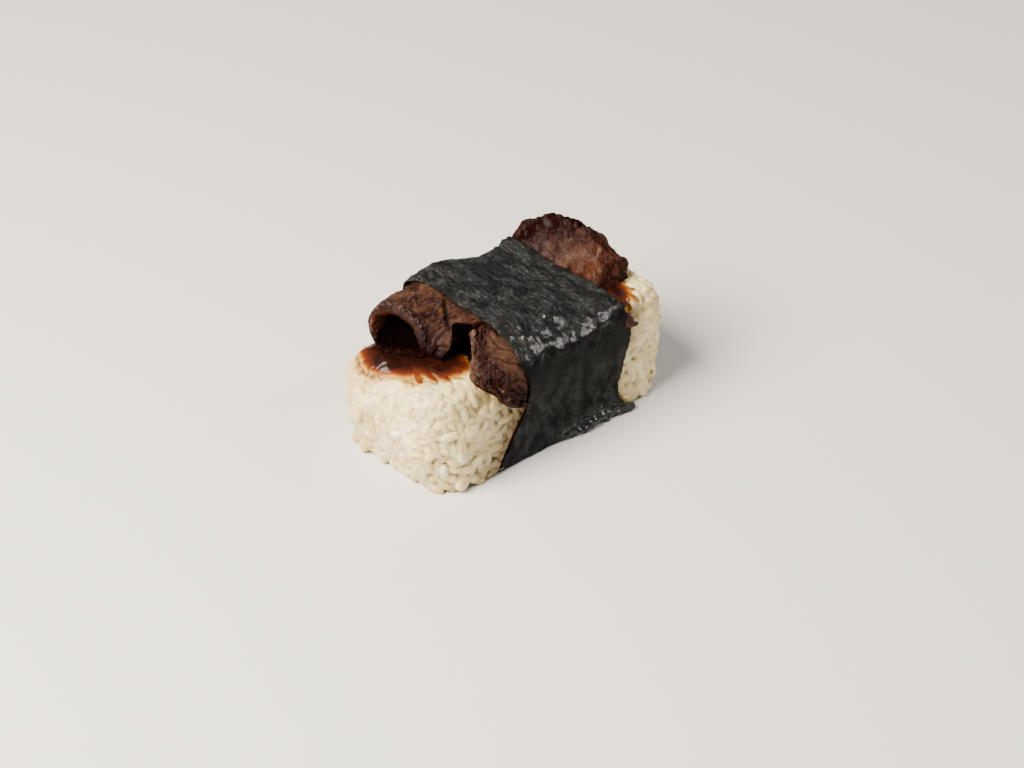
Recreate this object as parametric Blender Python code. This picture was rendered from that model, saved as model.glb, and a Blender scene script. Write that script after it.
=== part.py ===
"""A barbecue beef musubi, standing on its flat underside.

A pressed block of short-grain rice carries three folded slices of glazed beef. A band of nori holds
them together, and the sauce that ran off the beef lies in two pools on the rice.
X runs along the block, from the end with the open curl of beef to the end with the rounded slice.
Y runs across it, and Z up. Sizes are in millimetres, and mesh_object turns them into metres.
"""

import math
import random

import bmesh
import bpy
import numpy as np
from mathutils import Matrix, Vector, noise
from mathutils.bvhtree import BVHTree

MM = 0.001
GAP = 0.3
MERGE = 0.002
SEED = 11

# Rice block: its ends, half its width, its top at either end, and how round its corners are
BLOCK_ENDS = (-51.6, 51.5)
BLOCK_HALF_WIDTH = 25.2
BLOCK_TOP = (32.4, 36.2)
BLOCK_TOP_RISE = (0.1, 0.8)
END_CORNER = 13.0
TOP_CORNER = (10.0, 7.5)
FOOT_CORNER = 2.6
SWELL = 0.45
# Its sections stand this far in from either end, then evenly from there to the other end's
END_SECTIONS = (0.0, 0.35, 1.2, 2.8, 5.2, 8.6, 13.0)
EVEN_FROM = 20.0
EVEN_SECTIONS = 8

# Grains: their size and how much it varies, how they lie on the block, and where they are left out
GRAIN_LENGTH = 5.8
GRAIN_LENGTHS = (0.82, 1.12)
GRAIN_WIDTH = 2.7
GRAIN_WIDTHS = (0.85, 1.1)
GRAIN_SIDES = 5
GRAIN_WAIST = 0.24
GRAIN_FULLNESS = 0.95
GRAIN_SPACING = 5.1
GRAIN_SINK = 0.1
GRAIN_TILT = 14.0
GRAIN_COUNT = 190
GRAIN_TRIES = 9000
GRAIN_CLEARANCE = 0.35
GRAIN_LOWEST = 2.6
GRAIN_FACING = -0.4
GRAIN_CLEAR_OF_FLOOR = 0.02
# Grains are thrown from places inside the block, this far from its middle, along it and up
THROW_MIDDLE = 18.0
THROW_ALONG = (10.0, 46.0)
THROW_UP = (-14.0, 8.0)

# Beef and nori
SLICE = 2.4
SLICE_ROUNDING = 0.65
NORI = 0.8
NORI_GRID = (50, 8)
CURL_GRID = (26, 8)
FLAP_GRID = (20, 12)

# The room that is kept clear for the nori goes this far out past its face, and past its two edges
ROOM_OUT = 9.0
ROOM_ALONG = 0.8

# The nori's outer face, round the block from under its left side: across, up, and along at the front
# edge, then the same at the back edge, and how far the front swells and the back dips between them.
NORI_RING = (
    ((22.0, 0.0, -22.0), (22.0, 0.0, 27.0), 0.0),
    ((8.0, 0.0, -23.0), (8.0, 0.0, 27.2), 0.0),
    ((-8.0, 0.0, -24.4), (-8.0, 0.0, 27.2), 0.0),
    ((-22.6, 0.0, -26.4), (-22.8, 0.0, 26.8), 0.0),
    ((-24.9, 2.0, -25.6), (-25.2, 2.0, 26.4), 0.0),
    ((-25.4, 12.0, -20.2), (-25.4, 10.0, 24.9), 0.0),
    ((-26.2, 22.0, -15.2), (-26.0, 19.0, 27.0), 0.0),
    ((-26.4, 30.5, -15.2), (-26.6, 29.0, 28.9), 0.1),
    ((-24.0, 37.0, -16.6), (-25.6, 37.0, 27.4), 0.2),
    ((-18.0, 40.2, -15.6), (-20.0, 40.6, 26.4), 0.4),
    ((-8.0, 42.8, -14.8), (-8.0, 41.0, 27.0), 0.6),
    ((6.0, 43.6, -15.0), (6.0, 40.3, 27.0), 1.0),
    ((17.0, 45.2, -15.4), (17.0, 41.4, 26.6), 1.7),
    ((24.6, 45.4, -19.4), (24.8, 42.6, 25.2), 2.3),
    ((27.2, 38.0, -19.0), (26.8, 36.0, 26.0), 0.8),
    ((26.6, 22.0, -18.0), (26.4, 20.0, 26.6), 0.0),
    ((25.2, 4.0, -20.0), (25.0, 4.0, 26.8), 0.0),
)
# The nori's loose hem at the foot of its right side: how far it sticks out, and where on the ring
HEM_REACH = 2.4
HEM_AT = 0.225
HEM_SPREAD = 0.022
HEM_START = (0.35, 0.75)

# The curl's outer face along its open front edge, from the end that is tucked under, up round the left
# side, over, and down the lobe that hangs to the sauce; then along its far edge, inside the nori.
CURL_EDGE = (
    (-34.0, 1.0, 34.4),
    (-39.6, 9.6, 34.0),
    (-40.6, 15.4, 34.4),
    (-39.8, 20.2, 36.8),
    (-38.6, 22.2, 40.2),
    (-37.0, 21.2, 44.0),
    (-33.6, 17.2, 45.8),
    (-32.2, 11.6, 45.0),
    (-32.4, 6.0, 43.4),
    (-33.2, 2.2, 40.4),
    (-32.4, 0.0, 36.8),
    (-31.2, -2.2, 34.4),
    (-29.6, -4.9, 35.2),
)
CURL_FAR = (
    (-6.0, 4.0, 35.6),
    (-6.0, 11.0, 35.2),
    (-6.0, 18.0, 35.6),
    (-6.0, 23.0, 37.0),
    (-6.0, 25.6, 40.0),
    (-6.0, 24.8, 44.4),
    (-6.0, 19.4, 45.2),
    (-6.0, 13.4, 43.8),
    (-6.0, 8.0, 42.6),
    (-6.0, 4.0, 42.0),
    (-6.0, 0.6, 41.8),
    (-6.0, -2.6, 41.6),
    (-6.0, -6.6, 41.4),
)
CURL_CROWN = 1.2
CURL_CROWN_FROM = (0.3, 0.5)
LOBE_FROM = (0.64, 0.86)
LOBE_STEEPNESS = 8.0

# The flap's outer face along its open edge, from the top beside the curl, down its rolled left edge and
# along its hem over the block's shoulder; then across the top inside the nori, and at its far end.
FLAP_EDGE = (
    (-22.0, -7.4, 43.0),
    (-24.2, -9.2, 39.0),
    (-26.6, -11.4, 35.8),
    (-30.6, -15.0, 34.2),
    (-30.2, -20.4, 32.6),
    (-27.6, -23.8, 30.2),
    (-23.8, -26.8, 25.6),
    (-18.4, -27.4, 22.2),
    (-10.0, -26.0, 21.6),
)
FLAP_MIDDLE = (
    (-13.0, -6.2, 42.0),
    (-13.0, -9.6, 41.6),
    (-13.0, -13.0, 40.8),
    (-13.0, -16.6, 39.6),
    (-13.0, -20.0, 38.0),
    (-13.0, -22.8, 35.8),
    (-12.0, -25.0, 32.0),
    (-10.0, -25.6, 27.0),
    (-6.0, -24.9, 22.4),
)
FLAP_FAR = (
    (24.0, -6.2, 39.8),
    (24.0, -9.6, 39.8),
    (24.0, -13.0, 39.7),
    (24.0, -16.6, 39.5),
    (24.0, -20.0, 39.2),
    (24.0, -23.0, 37.4),
    (24.0, -24.7, 33.8),
    (24.0, -25.0, 29.4),
    (24.0, -24.6, 25.4),
)
# Where along the slice its outer face passes the middle line, and how it bulges before that
FLAP_TURN = 0.4
FLAP_CROWN = 2.0
FLAP_CROWN_WAY = (-0.5, -0.35, 0.8)
FLAP_CROWN_FROM = (0.0, 0.2)
FLAP_CROWN_TO = (0.7, 0.95)
# It is one slice deep at its open edge, and fills the room down to the rice inside the nori
FLAP_DEPTH = 7.5
FLAP_DEEPENS = (0.15, 0.45)
# The torn tips of its far end: where, how wide, how long, and how far they lean out
FLAP_TIPS = ((0.55, 0.07, 6.5, 0.0), (0.82, 0.085, 8.0, 3.0))
FLAP_TIP_LEANS = (0.9, 0.98)

# Where the flap meets the slices on its left, how far along that seam runs, and a size past the whole
SEAM_Y = -6.45
SEAM_END = 28.0
BEYOND = 80.0

# The slice that fills the room under the nori and is bunched up, rounded, at the far end: the middle and
# half size of its plan, where its rim is, and its height over that under the nori, at the nori's back
# edge and at its highest, with where along the block it falls and rises between them.
ROUND_MIDDLE = (20.4, 7.3)
ROUND_HALF = (26.1, 20.2)
ROUND_FOOT = 36.4
ROUND_HEIGHTS = (10.0, 4.6, 14.0)
ROUND_FALL = (21.0, 26.0)
ROUND_RISE = (26.0, 38.0)
# On its left it rises this much sooner, and on its right it stays this much lower
ROUND_LEFT = (10.0, 23.0)
ROUND_SOONER = (2.0, 7.0)
ROUND_RIGHT = (-8.0, 6.0)
ROUND_LOWER = 1.8
ROUND_SQUARENESS = 3.2
ROUND_SHOULDER = 6
ROUND_SINK = 1.5
# Its uneven top and outline: the size of the bumps along the block and their height
ROUND_BUMPS = (9.0, 1.2)
ROUND_WAVES = (5, 0.6, 0.02)
# Its torn point: which way it lies, how wide it is there, and how far it sticks out
ROUND_TIP = (-0.80, 0.13, 0.09)
ROUND_COLUMNS = 36
ROUND_RINGS = 8

# Sauce pools: the outline on the rice, and how thick the middle is
POOL_FRONT = (
    (-42.6, 21.0),
    (-47.4, 16.4),
    (-48.9, 9.4),
    (-45.8, 3.6),
    (-44.2, -1.4),
    (-43.2, -6.4),
    (-39.8, -7.2),
    (-37.4, -10.6),
    (-33.6, -13.4),
    (-28.0, -12.0),
    (-26.0, 2.0),
    (-29.0, 15.0),
    (-36.0, 21.0),
)
POOL_REAR = (
    (30.4, -21.8),
    (34.6, -20.2),
    (38.6, -15.0),
    (38.4, -9.0),
    (36.0, -3.0),
    (30.4, -3.6),
    (29.4, -12.0),
)
POOLS = {"front": POOL_FRONT, "rear": POOL_REAR}
POOL_DEPTH = 1.3
POOL_EDGE = 0.6
POOL_SINK = 1.2
POOL_COLUMNS = 26
POOL_RINGS = 5

COLOURS = {
    "cooked_rice": ("#E4DAC4", 0.55),
    "toasted_seaweed": ("#2B2C2A", 0.42),
    "glazed_beef": ("#5C4033", 0.45),
    "soy_glaze": ("#5A2A17", 0.12),
}


def linear(hex_colour):
    """An sRGB hex colour as linear red, green, blue and alpha."""
    parts = [int(hex_colour[i : i + 2], 16) / 255 for i in (1, 3, 5)]
    return [c / 12.92 if c < 0.04045 else ((c + 0.055) / 1.055) ** 2.4 for c in parts] + [1.0]


def material(name):
    """The material of this name, made the first time it is asked for."""
    if name in bpy.data.materials:
        return bpy.data.materials[name]
    hex_colour, roughness = COLOURS[name]
    made = bpy.data.materials.new(name)
    made.use_nodes = True
    shader = made.node_tree.nodes["Principled BSDF"]
    shader.inputs["Base Color"].default_value = linear(hex_colour)
    shader.inputs["Roughness"].default_value = roughness
    shader.inputs["Metallic"].default_value = 0.0
    return made


def mesh_object(name, points, faces, finish):
    """A new object from points in millimetres, with its faces turned outwards."""
    mesh = bpy.data.meshes.new(name)
    mesh.from_pydata([tuple(p * MM for p in point) for point in points], [], faces)
    shape = bmesh.new()
    shape.from_mesh(mesh)
    bmesh.ops.triangulate(shape, faces=shape.faces)
    bmesh.ops.recalc_face_normals(shape, faces=shape.faces)
    shape.to_mesh(mesh)
    shape.free()
    mesh.materials.append(material(finish))
    mesh.shade_smooth()
    mesh.set_sharp_from_angle(angle=math.radians(50))
    made = bpy.data.objects.new(name, mesh)
    bpy.context.scene.collection.objects.link(made)
    return made


def mix(low, high, share):
    return low + (high - low) * share


def smooth(low, high, value):
    """0 below low, 1 above high, and a smooth rise between them."""
    share = min(max((value - low) / (high - low), 0.0), 1.0)
    return share * share * (3 - 2 * share)


def bump(value, middle, spread):
    return math.exp(-(((value - middle) / spread) ** 2))


def along(points, share, closed=False):
    """The point at this share of a smooth curve through the points."""
    count = len(points)
    spans = count if closed else count - 1
    place = share * spans if closed else min(max(share, 0.0), 1.0) * spans
    first = math.floor(place) if closed else min(int(place), spans - 1)
    t = place - first
    if closed:
        index = [(first + step) % count for step in (-1, 0, 1, 2)]
    else:
        index = [min(max(first + step, 0), count - 1) for step in (-1, 0, 1, 2)]
    a, b, c, d = (np.array(points[i], float) for i in index)
    curve = 2 * b + (c - a) * t + (2 * a - 5 * b + 4 * c - d) * t * t
    return (curve + (3 * b - a - 3 * c + d) * t**3) / 2


def normal_at(surface, u, v, step=0.004):
    """The unit normal of a surface, which points out where u runs left to right as v runs away."""
    across = surface(u + step, v) - surface(u - step, v)
    away = surface(u, v + step) - surface(u, v - step)
    normal = np.cross(across, away)
    return normal / (np.linalg.norm(normal) or 1.0)


def ribbon(points_out, points_in, rows, columns, wraps, inner_rim=True):
    """Points and faces of the wall between two grids of points, joined along its open rims."""
    size = rows * columns
    last = columns if wraps else columns - 1
    rims = (0, rows - 1) if inner_rim else (rows - 1,)
    faces = []
    for row in range(rows - 1):
        for column in range(last):
            after = (column + 1) % columns
            quad = [row * columns + column, row * columns + after]
            quad += [(row + 1) * columns + after, (row + 1) * columns + column]
            faces.append(quad)
            faces.append([size + corner for corner in reversed(quad)])
    border = [(row * columns + c, row * columns + (c + 1) % columns) for row in rims for c in range(last)]
    if not wraps:
        for row in range(rows - 1):
            for column in (0, columns - 1):
                border.append((row * columns + column, (row + 1) * columns + column))
    faces += [[a, b, size + b, size + a] for a, b in border]
    return list(points_out) + list(points_in), faces


def slice_solid(name, surface, deep, columns, rows):
    """A slice under its outer face, with its open edges rounded over: deep(u, v) is how thick it is."""
    outer, inner = [], []
    for row in range(rows + 1):
        for column in range(columns + 1):
            u, v = column / columns, row / rows
            point, normal, thickness = surface(u, v), normal_at(surface, u, v), deep(u, v)
            on_edge = row in (0, rows) or column in (0, columns)
            ease = SLICE_ROUNDING if on_edge else 0.0
            outer.append(point - normal * ease)
            inner.append(point - normal * (thickness - ease))
    points, faces = ribbon(outer, inner, rows + 1, columns + 1, False)
    return mesh_object(name, points, faces, "glazed_beef")


def bare_nori(share, v):
    """The nori's outer face, pulled tight: share runs round the ring, and v from the front edge back."""
    front = along([row[0] for row in NORI_RING], share, closed=True)
    back = along([row[1] for row in NORI_RING], share, closed=True)
    swell = along([(row[2],) for row in NORI_RING], share, closed=True)[0]
    across, up, length = mix(front, back, v)
    up += max(swell, 0.0) * math.sin(2 * math.pi * v)
    return np.array((length, across, max(up, 0.0)))


def loose_nori(share, v):
    """The nori's outer face with the hem that sticks out at the foot of its right side."""
    point = bare_nori(share, v)
    point[1] -= HEM_REACH * bump(share, HEM_AT, HEM_SPREAD) * smooth(*HEM_START, v)
    return point


def nori_ring(face, inward, outward, reach):
    """Points and faces of the ring from inward of the nori's outer face to outward of it."""
    columns, rows = NORI_GRID
    outer, inner = [], []
    for row in range(rows + 1):
        v = row / rows
        for column in range(columns):
            share = column / columns
            point = face(share, v)
            normal = -normal_at(face, share, v)
            point[0] += reach * (2 * v - 1)
            normal[0] = 0.0
            normal /= np.linalg.norm(normal)
            outer.append(point + normal * outward)
            inner.append(point - normal * inward)
    return ribbon(outer, inner, rows + 1, columns, True)


def block_size(x, grow):
    """Half the width, the top and the foot of the block at x, rounded off towards both ends."""
    low, high = BLOCK_ENDS[0] - grow, BLOCK_ENDS[1] + grow
    share = (x - low) / (high - low)
    near = min(x - low, high - x)
    corner = mix(*TOP_CORNER, share)

    def rounded(radius):
        inside = max(radius - near, 0.0)
        return radius - math.sqrt(max(radius**2 - inside**2, 0.0))

    half = BLOCK_HALF_WIDTH + grow + SWELL * math.sin(math.pi * share) - rounded(END_CORNER)
    top = mix(*BLOCK_TOP, smooth(*BLOCK_TOP_RISE, share)) + grow - rounded(corner)
    foot = rounded(FOOT_CORNER)
    return half, top, foot, corner


def block_section(x, grow, steps=4):
    """The block's outline across x, as points round it."""
    half, top, foot, corner = block_size(x, grow)
    corner = min(corner, (top - foot) / 2.2)
    points = []
    for middle_y, middle_z, radius, start in (
        (half - corner, top - corner, corner, 0),
        (-half + corner, top - corner, corner, 90),
        (-half + FOOT_CORNER, foot + FOOT_CORNER, FOOT_CORNER, 180),
        (half - FOOT_CORNER, foot + FOOT_CORNER, FOOT_CORNER, 270),
    ):
        for step in range(steps + 1):
            angle = math.radians(start + 90 * step / steps)
            points.append((x, middle_y + radius * math.cos(angle), middle_z + radius * math.sin(angle)))
    return points


def block_solid(name, grow):
    """The bare block of rice, without its grains."""
    low, high = BLOCK_ENDS[0] - grow, BLOCK_ENDS[1] + grow
    stations = [low + depth for depth in END_SECTIONS]
    stations += list(np.linspace(low + EVEN_FROM, high - EVEN_FROM, EVEN_SECTIONS))
    stations += [high - depth for depth in reversed(END_SECTIONS)]
    points, faces = [], []
    for x in stations:
        points += block_section(x, grow)
    ring = len(points) // len(stations)
    for row in range(len(stations) - 1):
        for column in range(ring):
            here, after = row * ring + column, row * ring + (column + 1) % ring
            faces.append([here, after, after + ring, here + ring])
    faces.append(list(range(ring)))
    faces.append([(len(stations) - 1) * ring + column for column in range(ring)])
    return mesh_object(name, points, faces, "cooked_rice")


def block_top_at(x, y):
    """How high the bare block is at a place on its top."""
    half, top, _, corner = block_size(x, 0.0)
    inside = max(abs(y) - (half - corner), 0.0)
    return top - corner + math.sqrt(max(corner**2 - inside**2, 0.0))


def mound_solid(name, middle, edge, top, foot, finish, columns, rings):
    """A closed mound: edge(share) is its outline round the middle, and top and foot are its heights."""
    upper, lower = [], []
    for ring in range(1, rings + 1):
        reach = math.sin(math.pi / 2 * ring / rings)
        for column in range(columns):
            x, y = middle + (edge(column / columns) - middle) * reach
            upper.append((x, y, top(x, y, reach)))
            lower.append((x, y, foot(x, y)))
    points, faces = ribbon(upper, lower, rings, columns, True, inner_rim=False)
    centre = len(points)
    points += [(*middle, top(*middle, 0.0)), (*middle, foot(*middle))]
    for column in range(columns):
        after = (column + 1) % columns
        faces.append([centre, after, column])
        faces.append([centre + 1, rings * columns + column, rings * columns + after])
    return mesh_object(name, points, faces, finish)


def pool_solid(name, outline, grow=0.0):
    """A pool of sauce, thickest in its middle, with a rounded edge. Its foot is to be cut to the rice."""
    middle = np.mean(outline, axis=0)

    def edge(share):
        point = along(outline, share, closed=True)
        return point + (point - middle) / np.linalg.norm(point - middle) * grow

    def top(x, y, reach):
        return block_top_at(x, y) + GAP + grow + mix(POOL_DEPTH, POOL_EDGE, reach**4)

    def foot(x, y):
        return block_top_at(x, y) - POOL_SINK

    return mound_solid(name, middle, edge, top, foot, "soy_glaze", POOL_COLUMNS, POOL_RINGS)


def curl_face(u, v):
    """The curl's outer face, from its open edge to its far edge. The lobe is steep near the edge."""
    edge, far = along(CURL_EDGE, u), along(CURL_FAR, u)
    point = mix(edge, far, v)
    inside = min(max(v, 0.0), 1.0)
    steep = 1 + LOBE_STEEPNESS * smooth(*LOBE_FROM, u)
    point[2] = mix(edge[2], far[2], 1 - (1 - inside) ** steep)
    point[2] += CURL_CROWN * math.sin(math.pi * inside) * smooth(*CURL_CROWN_FROM, u)
    return point


def curl_depth(u, v):
    return SLICE


def flap_depth(u, v):
    return mix(SLICE, FLAP_DEPTH, smooth(*FLAP_DEEPENS, v))


def flap_face(u, v):
    """The flap's outer face, from its open edge, under the nori, to its torn far end."""
    edge, middle, far = along(FLAP_EDGE, u), along(FLAP_MIDDLE, u), along(FLAP_FAR, u)
    if v < FLAP_TURN:
        share = v / FLAP_TURN
        lift = FLAP_CROWN * math.sin(math.pi * max(share, 0.0))
        lift *= smooth(*FLAP_CROWN_FROM, u) * (1 - smooth(*FLAP_CROWN_TO, u))
        return mix(edge, middle, share) + np.array(FLAP_CROWN_WAY) * lift
    for place, spread, length, lean in FLAP_TIPS:
        far[0] += length * bump(u, place, spread)
        far[1] -= lean * bump(u, place, spread) * smooth(*FLAP_TIP_LEANS, v)
    return mix(middle, far, (v - FLAP_TURN) / (1 - FLAP_TURN))


def round_solid(name):
    """The slice that fills the room under the nori and is bunched up over the far end, down to the rice."""
    middle = np.array(ROUND_MIDDLE)
    bump_size, bump_height = ROUND_BUMPS
    waves, phase, swing = ROUND_WAVES
    tip_at, tip_spread, tip_reach = ROUND_TIP

    def edge(share):
        angle = 2 * math.pi * share
        power = ROUND_SQUARENESS
        radius = (abs(math.cos(angle)) ** power + abs(math.sin(angle)) ** power) ** (-1 / power)
        turn = math.atan2(math.sin(angle), math.cos(angle))
        radius *= 1 + swing * math.sin(waves * angle + phase) + tip_reach * bump(turn, tip_at, tip_spread)
        return middle + np.array((math.cos(angle), math.sin(angle))) * ROUND_HALF * radius

    def top(x, y, reach):
        under, at_edge, highest = ROUND_HEIGHTS
        left = smooth(*ROUND_LEFT, y)
        risen = smooth(ROUND_RISE[0] - ROUND_SOONER[0] * left, ROUND_RISE[1] - ROUND_SOONER[1] * left, x)
        height = mix(mix(under, at_edge, smooth(*ROUND_FALL, x)), highest, risen)
        height -= ROUND_LOWER * (1 - smooth(*ROUND_RIGHT, y)) * risen
        height += noise.noise(Vector((x / bump_size, y / bump_size, 4.0))) * bump_height
        return ROUND_FOOT + height * math.sqrt(max(1 - reach**ROUND_SHOULDER, 0.0))

    def foot(x, y):
        return block_top_at(x, y) - ROUND_SINK

    return mound_solid(name, middle, edge, top, foot, "glazed_beef", ROUND_COLUMNS, ROUND_RINGS)


def box_solid(name, low, high):
    points = [(x, y, z) for x in (low[0], high[0]) for y in (low[1], high[1]) for z in (low[2], high[2])]
    faces = [(0, 1, 3, 2), (4, 6, 7, 5), (0, 4, 5, 1), (2, 3, 7, 6), (0, 2, 6, 4), (1, 5, 7, 3)]
    return mesh_object(name, points, faces, "cooked_rice")


def apply_boolean(target, other, operation, solver="EXACT"):
    """Joins or cuts the target with an object or a collection, and leaves plain mesh."""
    cut = target.modifiers.new("fit", "BOOLEAN")
    cut.operation = operation
    cut.solver = solver
    if isinstance(other, bpy.types.Collection):
        cut.operand_type = "COLLECTION"
        cut.collection = other
    else:
        cut.object = other
    graph = bpy.context.evaluated_depsgraph_get()
    fitted = bpy.data.meshes.new_from_object(target.evaluated_get(graph))
    target.modifiers.clear()
    target.data = fitted


def keep_largest(target):
    """Merges a cut's doubled points, and removes the loose scraps that it left behind."""
    shape = bmesh.new()
    shape.from_mesh(target.data)
    bmesh.ops.remove_doubles(shape, verts=shape.verts, dist=MERGE * MM)
    left = set(shape.verts)
    bodies = []
    while left:
        queue = [left.pop()]
        body = set(queue)
        while queue:
            for edge in queue.pop().link_edges:
                for vertex in edge.verts:
                    if vertex in left:
                        left.discard(vertex)
                        body.add(vertex)
                        queue.append(vertex)
        bodies.append(body)
    bodies.sort(key=len)
    scraps = [vertex for body in bodies[:-1] for vertex in body]
    bmesh.ops.delete(shape, geom=scraps, context="VERTS")
    bmesh.ops.triangulate(shape, faces=shape.faces)
    shape.to_mesh(target.data)
    shape.free()


def surface_tree(target):
    graph = bpy.context.evaluated_depsgraph_get()
    return BVHTree.FromObject(target, graph)


def clear_of(trees, points):
    """Whether every point is outside the solids and further than the clearance from them."""
    for tree in trees:
        for point in points:
            place, normal, _, distance = tree.find_nearest(point)
            if distance < GRAIN_CLEARANCE * MM or (point - place).dot(normal) < 0:
                return False
    return True


def grain_points(place, normal, draw):
    """A plump grain of rice lying on the surface, as points and faces."""
    length = GRAIN_LENGTH * draw.uniform(*GRAIN_LENGTHS)
    width = GRAIN_WIDTH * draw.uniform(*GRAIN_WIDTHS)
    spin = Matrix.Rotation(draw.uniform(0, math.pi), 4, "Z")
    tilt = Matrix.Rotation(math.radians(draw.uniform(-GRAIN_TILT, GRAIN_TILT)), 4, "Y")
    turn = normal.to_track_quat("Z", "Y").to_matrix().to_4x4()
    frame = Matrix.Translation(place + normal * GRAIN_SINK * MM) @ turn @ spin @ tilt
    outline = [Vector((-length / 2, 0, 0))]
    for share in (-GRAIN_WAIST, GRAIN_WAIST):
        for side in range(GRAIN_SIDES):
            angle = 2 * math.pi * (side + share) / GRAIN_SIDES
            radius = width / 2 * GRAIN_FULLNESS
            outline.append(Vector((share * length, math.cos(angle) * radius, math.sin(angle) * radius)))
    outline.append(Vector((length / 2, 0, 0)))
    faces = []
    for side in range(GRAIN_SIDES):
        here, after = 1 + side, 1 + (side + 1) % GRAIN_SIDES
        faces.append((0, after, here))
        faces.append((here, after, after + GRAIN_SIDES, here + GRAIN_SIDES))
        faces.append((len(outline) - 1, here + GRAIN_SIDES, after + GRAIN_SIDES))
    return [frame @ (point * MM) for point in outline], faces


def throw_grain(block, draw):
    """A random place on the block's faces, with its normal, or None where it faces the floor."""
    aim = Vector((draw.uniform(-1, 1), draw.uniform(-1, 1), draw.uniform(-0.6, 1))).normalized()
    side, length, up = draw.choice((-1, 1)), draw.uniform(*THROW_ALONG), draw.uniform(*THROW_UP)
    start = Vector((mix(*BLOCK_ENDS, 0.5) + side * length, 0, THROW_MIDDLE + up)) * MM
    place, normal, _, _ = block.ray_cast(start, aim)
    if place is None or place.z < GRAIN_LOWEST * MM:
        return None
    normal = normal if normal.dot(aim) > 0 else -normal
    return (place, normal) if normal.z > GRAIN_FACING else None


def add_grains(block, others):
    """Fuses grains of rice onto the showing faces of the block, clear of the other pieces."""
    draw = random.Random(SEED)
    own = surface_tree(block)
    trees = [surface_tree(other) for other in others]
    placed = []
    grains = bpy.data.collections.new("grains")
    bpy.context.scene.collection.children.link(grains)
    for _ in range(GRAIN_TRIES):
        found = throw_grain(own, draw)
        if found is None or len(placed) >= GRAIN_COUNT:
            continue
        place, normal = found
        if any((place - other).length < GRAIN_SPACING * MM for other in placed):
            continue
        points, faces = grain_points(place, normal, draw)
        probes = points + [(a + b) / 2 for a, b in zip(points, points[1:])]
        too_low = min(point.z for point in points) < GRAIN_CLEAR_OF_FLOOR * MM
        if too_low or not clear_of(trees, probes):
            continue
        placed.append(place)
        grain = mesh_object("grain", [point / MM for point in points], faces, "cooked_rice")
        bpy.context.scene.collection.objects.unlink(grain)
        grains.objects.link(grain)
    apply_boolean(block, grains, "UNION", "MANIFOLD")
    for grain in list(grains.objects):
        bpy.data.objects.remove(grain)
    bpy.data.collections.remove(grains)
    keep_largest(block)


def build():
    for old in list(bpy.data.objects):
        bpy.data.objects.remove(old)

    rice = block_solid("rice_block", 0.0)
    mesh_object("nori_band", *nori_ring(loose_nori, NORI, 0.0, 0.0), "toasted_seaweed")
    curl = slice_solid("beef_slice_curl", curl_face, curl_depth, *CURL_GRID)
    flap = slice_solid("beef_slice_flap", flap_face, flap_depth, *FLAP_GRID)
    rounded = round_solid("beef_slice_round")
    pools = [pool_solid("sauce_pool_" + end, outline) for end, outline in POOLS.items()]

    # Each piece is cut back to the room that its neighbours take with the gap round them
    nori_room = nori_ring(bare_nori, NORI + GAP, ROOM_OUT, ROOM_ALONG)
    round_nori = mesh_object("room_for_nori", *nori_room, "toasted_seaweed")
    round_rice = block_solid("room_for_rice", GAP)
    round_pools = [pool_solid("room_for_pool", outline, GAP) for outline in POOLS.values()]
    left_side = (-BEYOND, SEAM_Y - GAP / 2, 0), (BEYOND, BEYOND, BEYOND)
    right_side = (-BEYOND, -BEYOND, 0), (SEAM_END, SEAM_Y + GAP / 2, BEYOND)
    left_of_seam = box_solid("left_of_seam", *left_side)
    right_of_seam = box_solid("right_of_seam", *right_side)

    for beef, side in ((curl, right_of_seam), (flap, left_of_seam), (rounded, right_of_seam)):
        for room in (round_nori, round_rice, side, *round_pools):
            apply_boolean(beef, room, "DIFFERENCE", "MANIFOLD")
    apply_boolean(rice, round_nori, "DIFFERENCE")
    for pool in pools:
        apply_boolean(pool, round_rice, "DIFFERENCE", "MANIFOLD")
        apply_boolean(pool, round_nori, "DIFFERENCE", "MANIFOLD")
    for piece in (rice, curl, flap, rounded, *pools):
        keep_largest(piece)

    add_grains(rice, (round_nori, curl, flap, rounded, *pools))

    for room in (round_nori, round_rice, left_of_seam, right_of_seam, *round_pools):
        bpy.data.objects.remove(room)


build()
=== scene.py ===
"""The looks of a barbecue beef musubi: pressed rice, glazed beef, toasted nori and a dark sauce.

X runs along the block, from the end with the open curl of beef, Y across it and Z up. Shapes are worked
out in millimetres, and mesh_object turns them into metres.
"""

import math

import bmesh
import bpy
import numpy as np
from mathutils import Euler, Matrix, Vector, noise
from mathutils.bvhtree import BVHTree
from mathutils.kdtree import KDTree


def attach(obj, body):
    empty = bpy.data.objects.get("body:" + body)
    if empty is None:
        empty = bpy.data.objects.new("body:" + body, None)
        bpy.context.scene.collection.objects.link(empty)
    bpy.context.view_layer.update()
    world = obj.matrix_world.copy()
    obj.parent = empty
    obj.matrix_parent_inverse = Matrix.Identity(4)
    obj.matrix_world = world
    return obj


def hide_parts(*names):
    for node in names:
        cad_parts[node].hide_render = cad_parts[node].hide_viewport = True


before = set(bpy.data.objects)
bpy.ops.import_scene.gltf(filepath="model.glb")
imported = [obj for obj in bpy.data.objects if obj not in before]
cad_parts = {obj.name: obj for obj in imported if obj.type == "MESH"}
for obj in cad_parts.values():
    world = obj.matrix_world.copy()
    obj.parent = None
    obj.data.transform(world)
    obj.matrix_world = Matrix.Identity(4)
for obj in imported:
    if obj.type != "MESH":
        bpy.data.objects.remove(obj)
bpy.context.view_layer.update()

MM = 0.001

# Camera: where it looks from, how far away it is, and how far off its middle the object's origin lies
CAMERA_TURN = 43.4
CAMERA_RISE = 33.5
CAMERA_DISTANCE = 1225.08
CAMERA_ASIDE = 1.917
CAMERA_ABOVE = 7.987
CAMERA_LENS = 134.8

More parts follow.
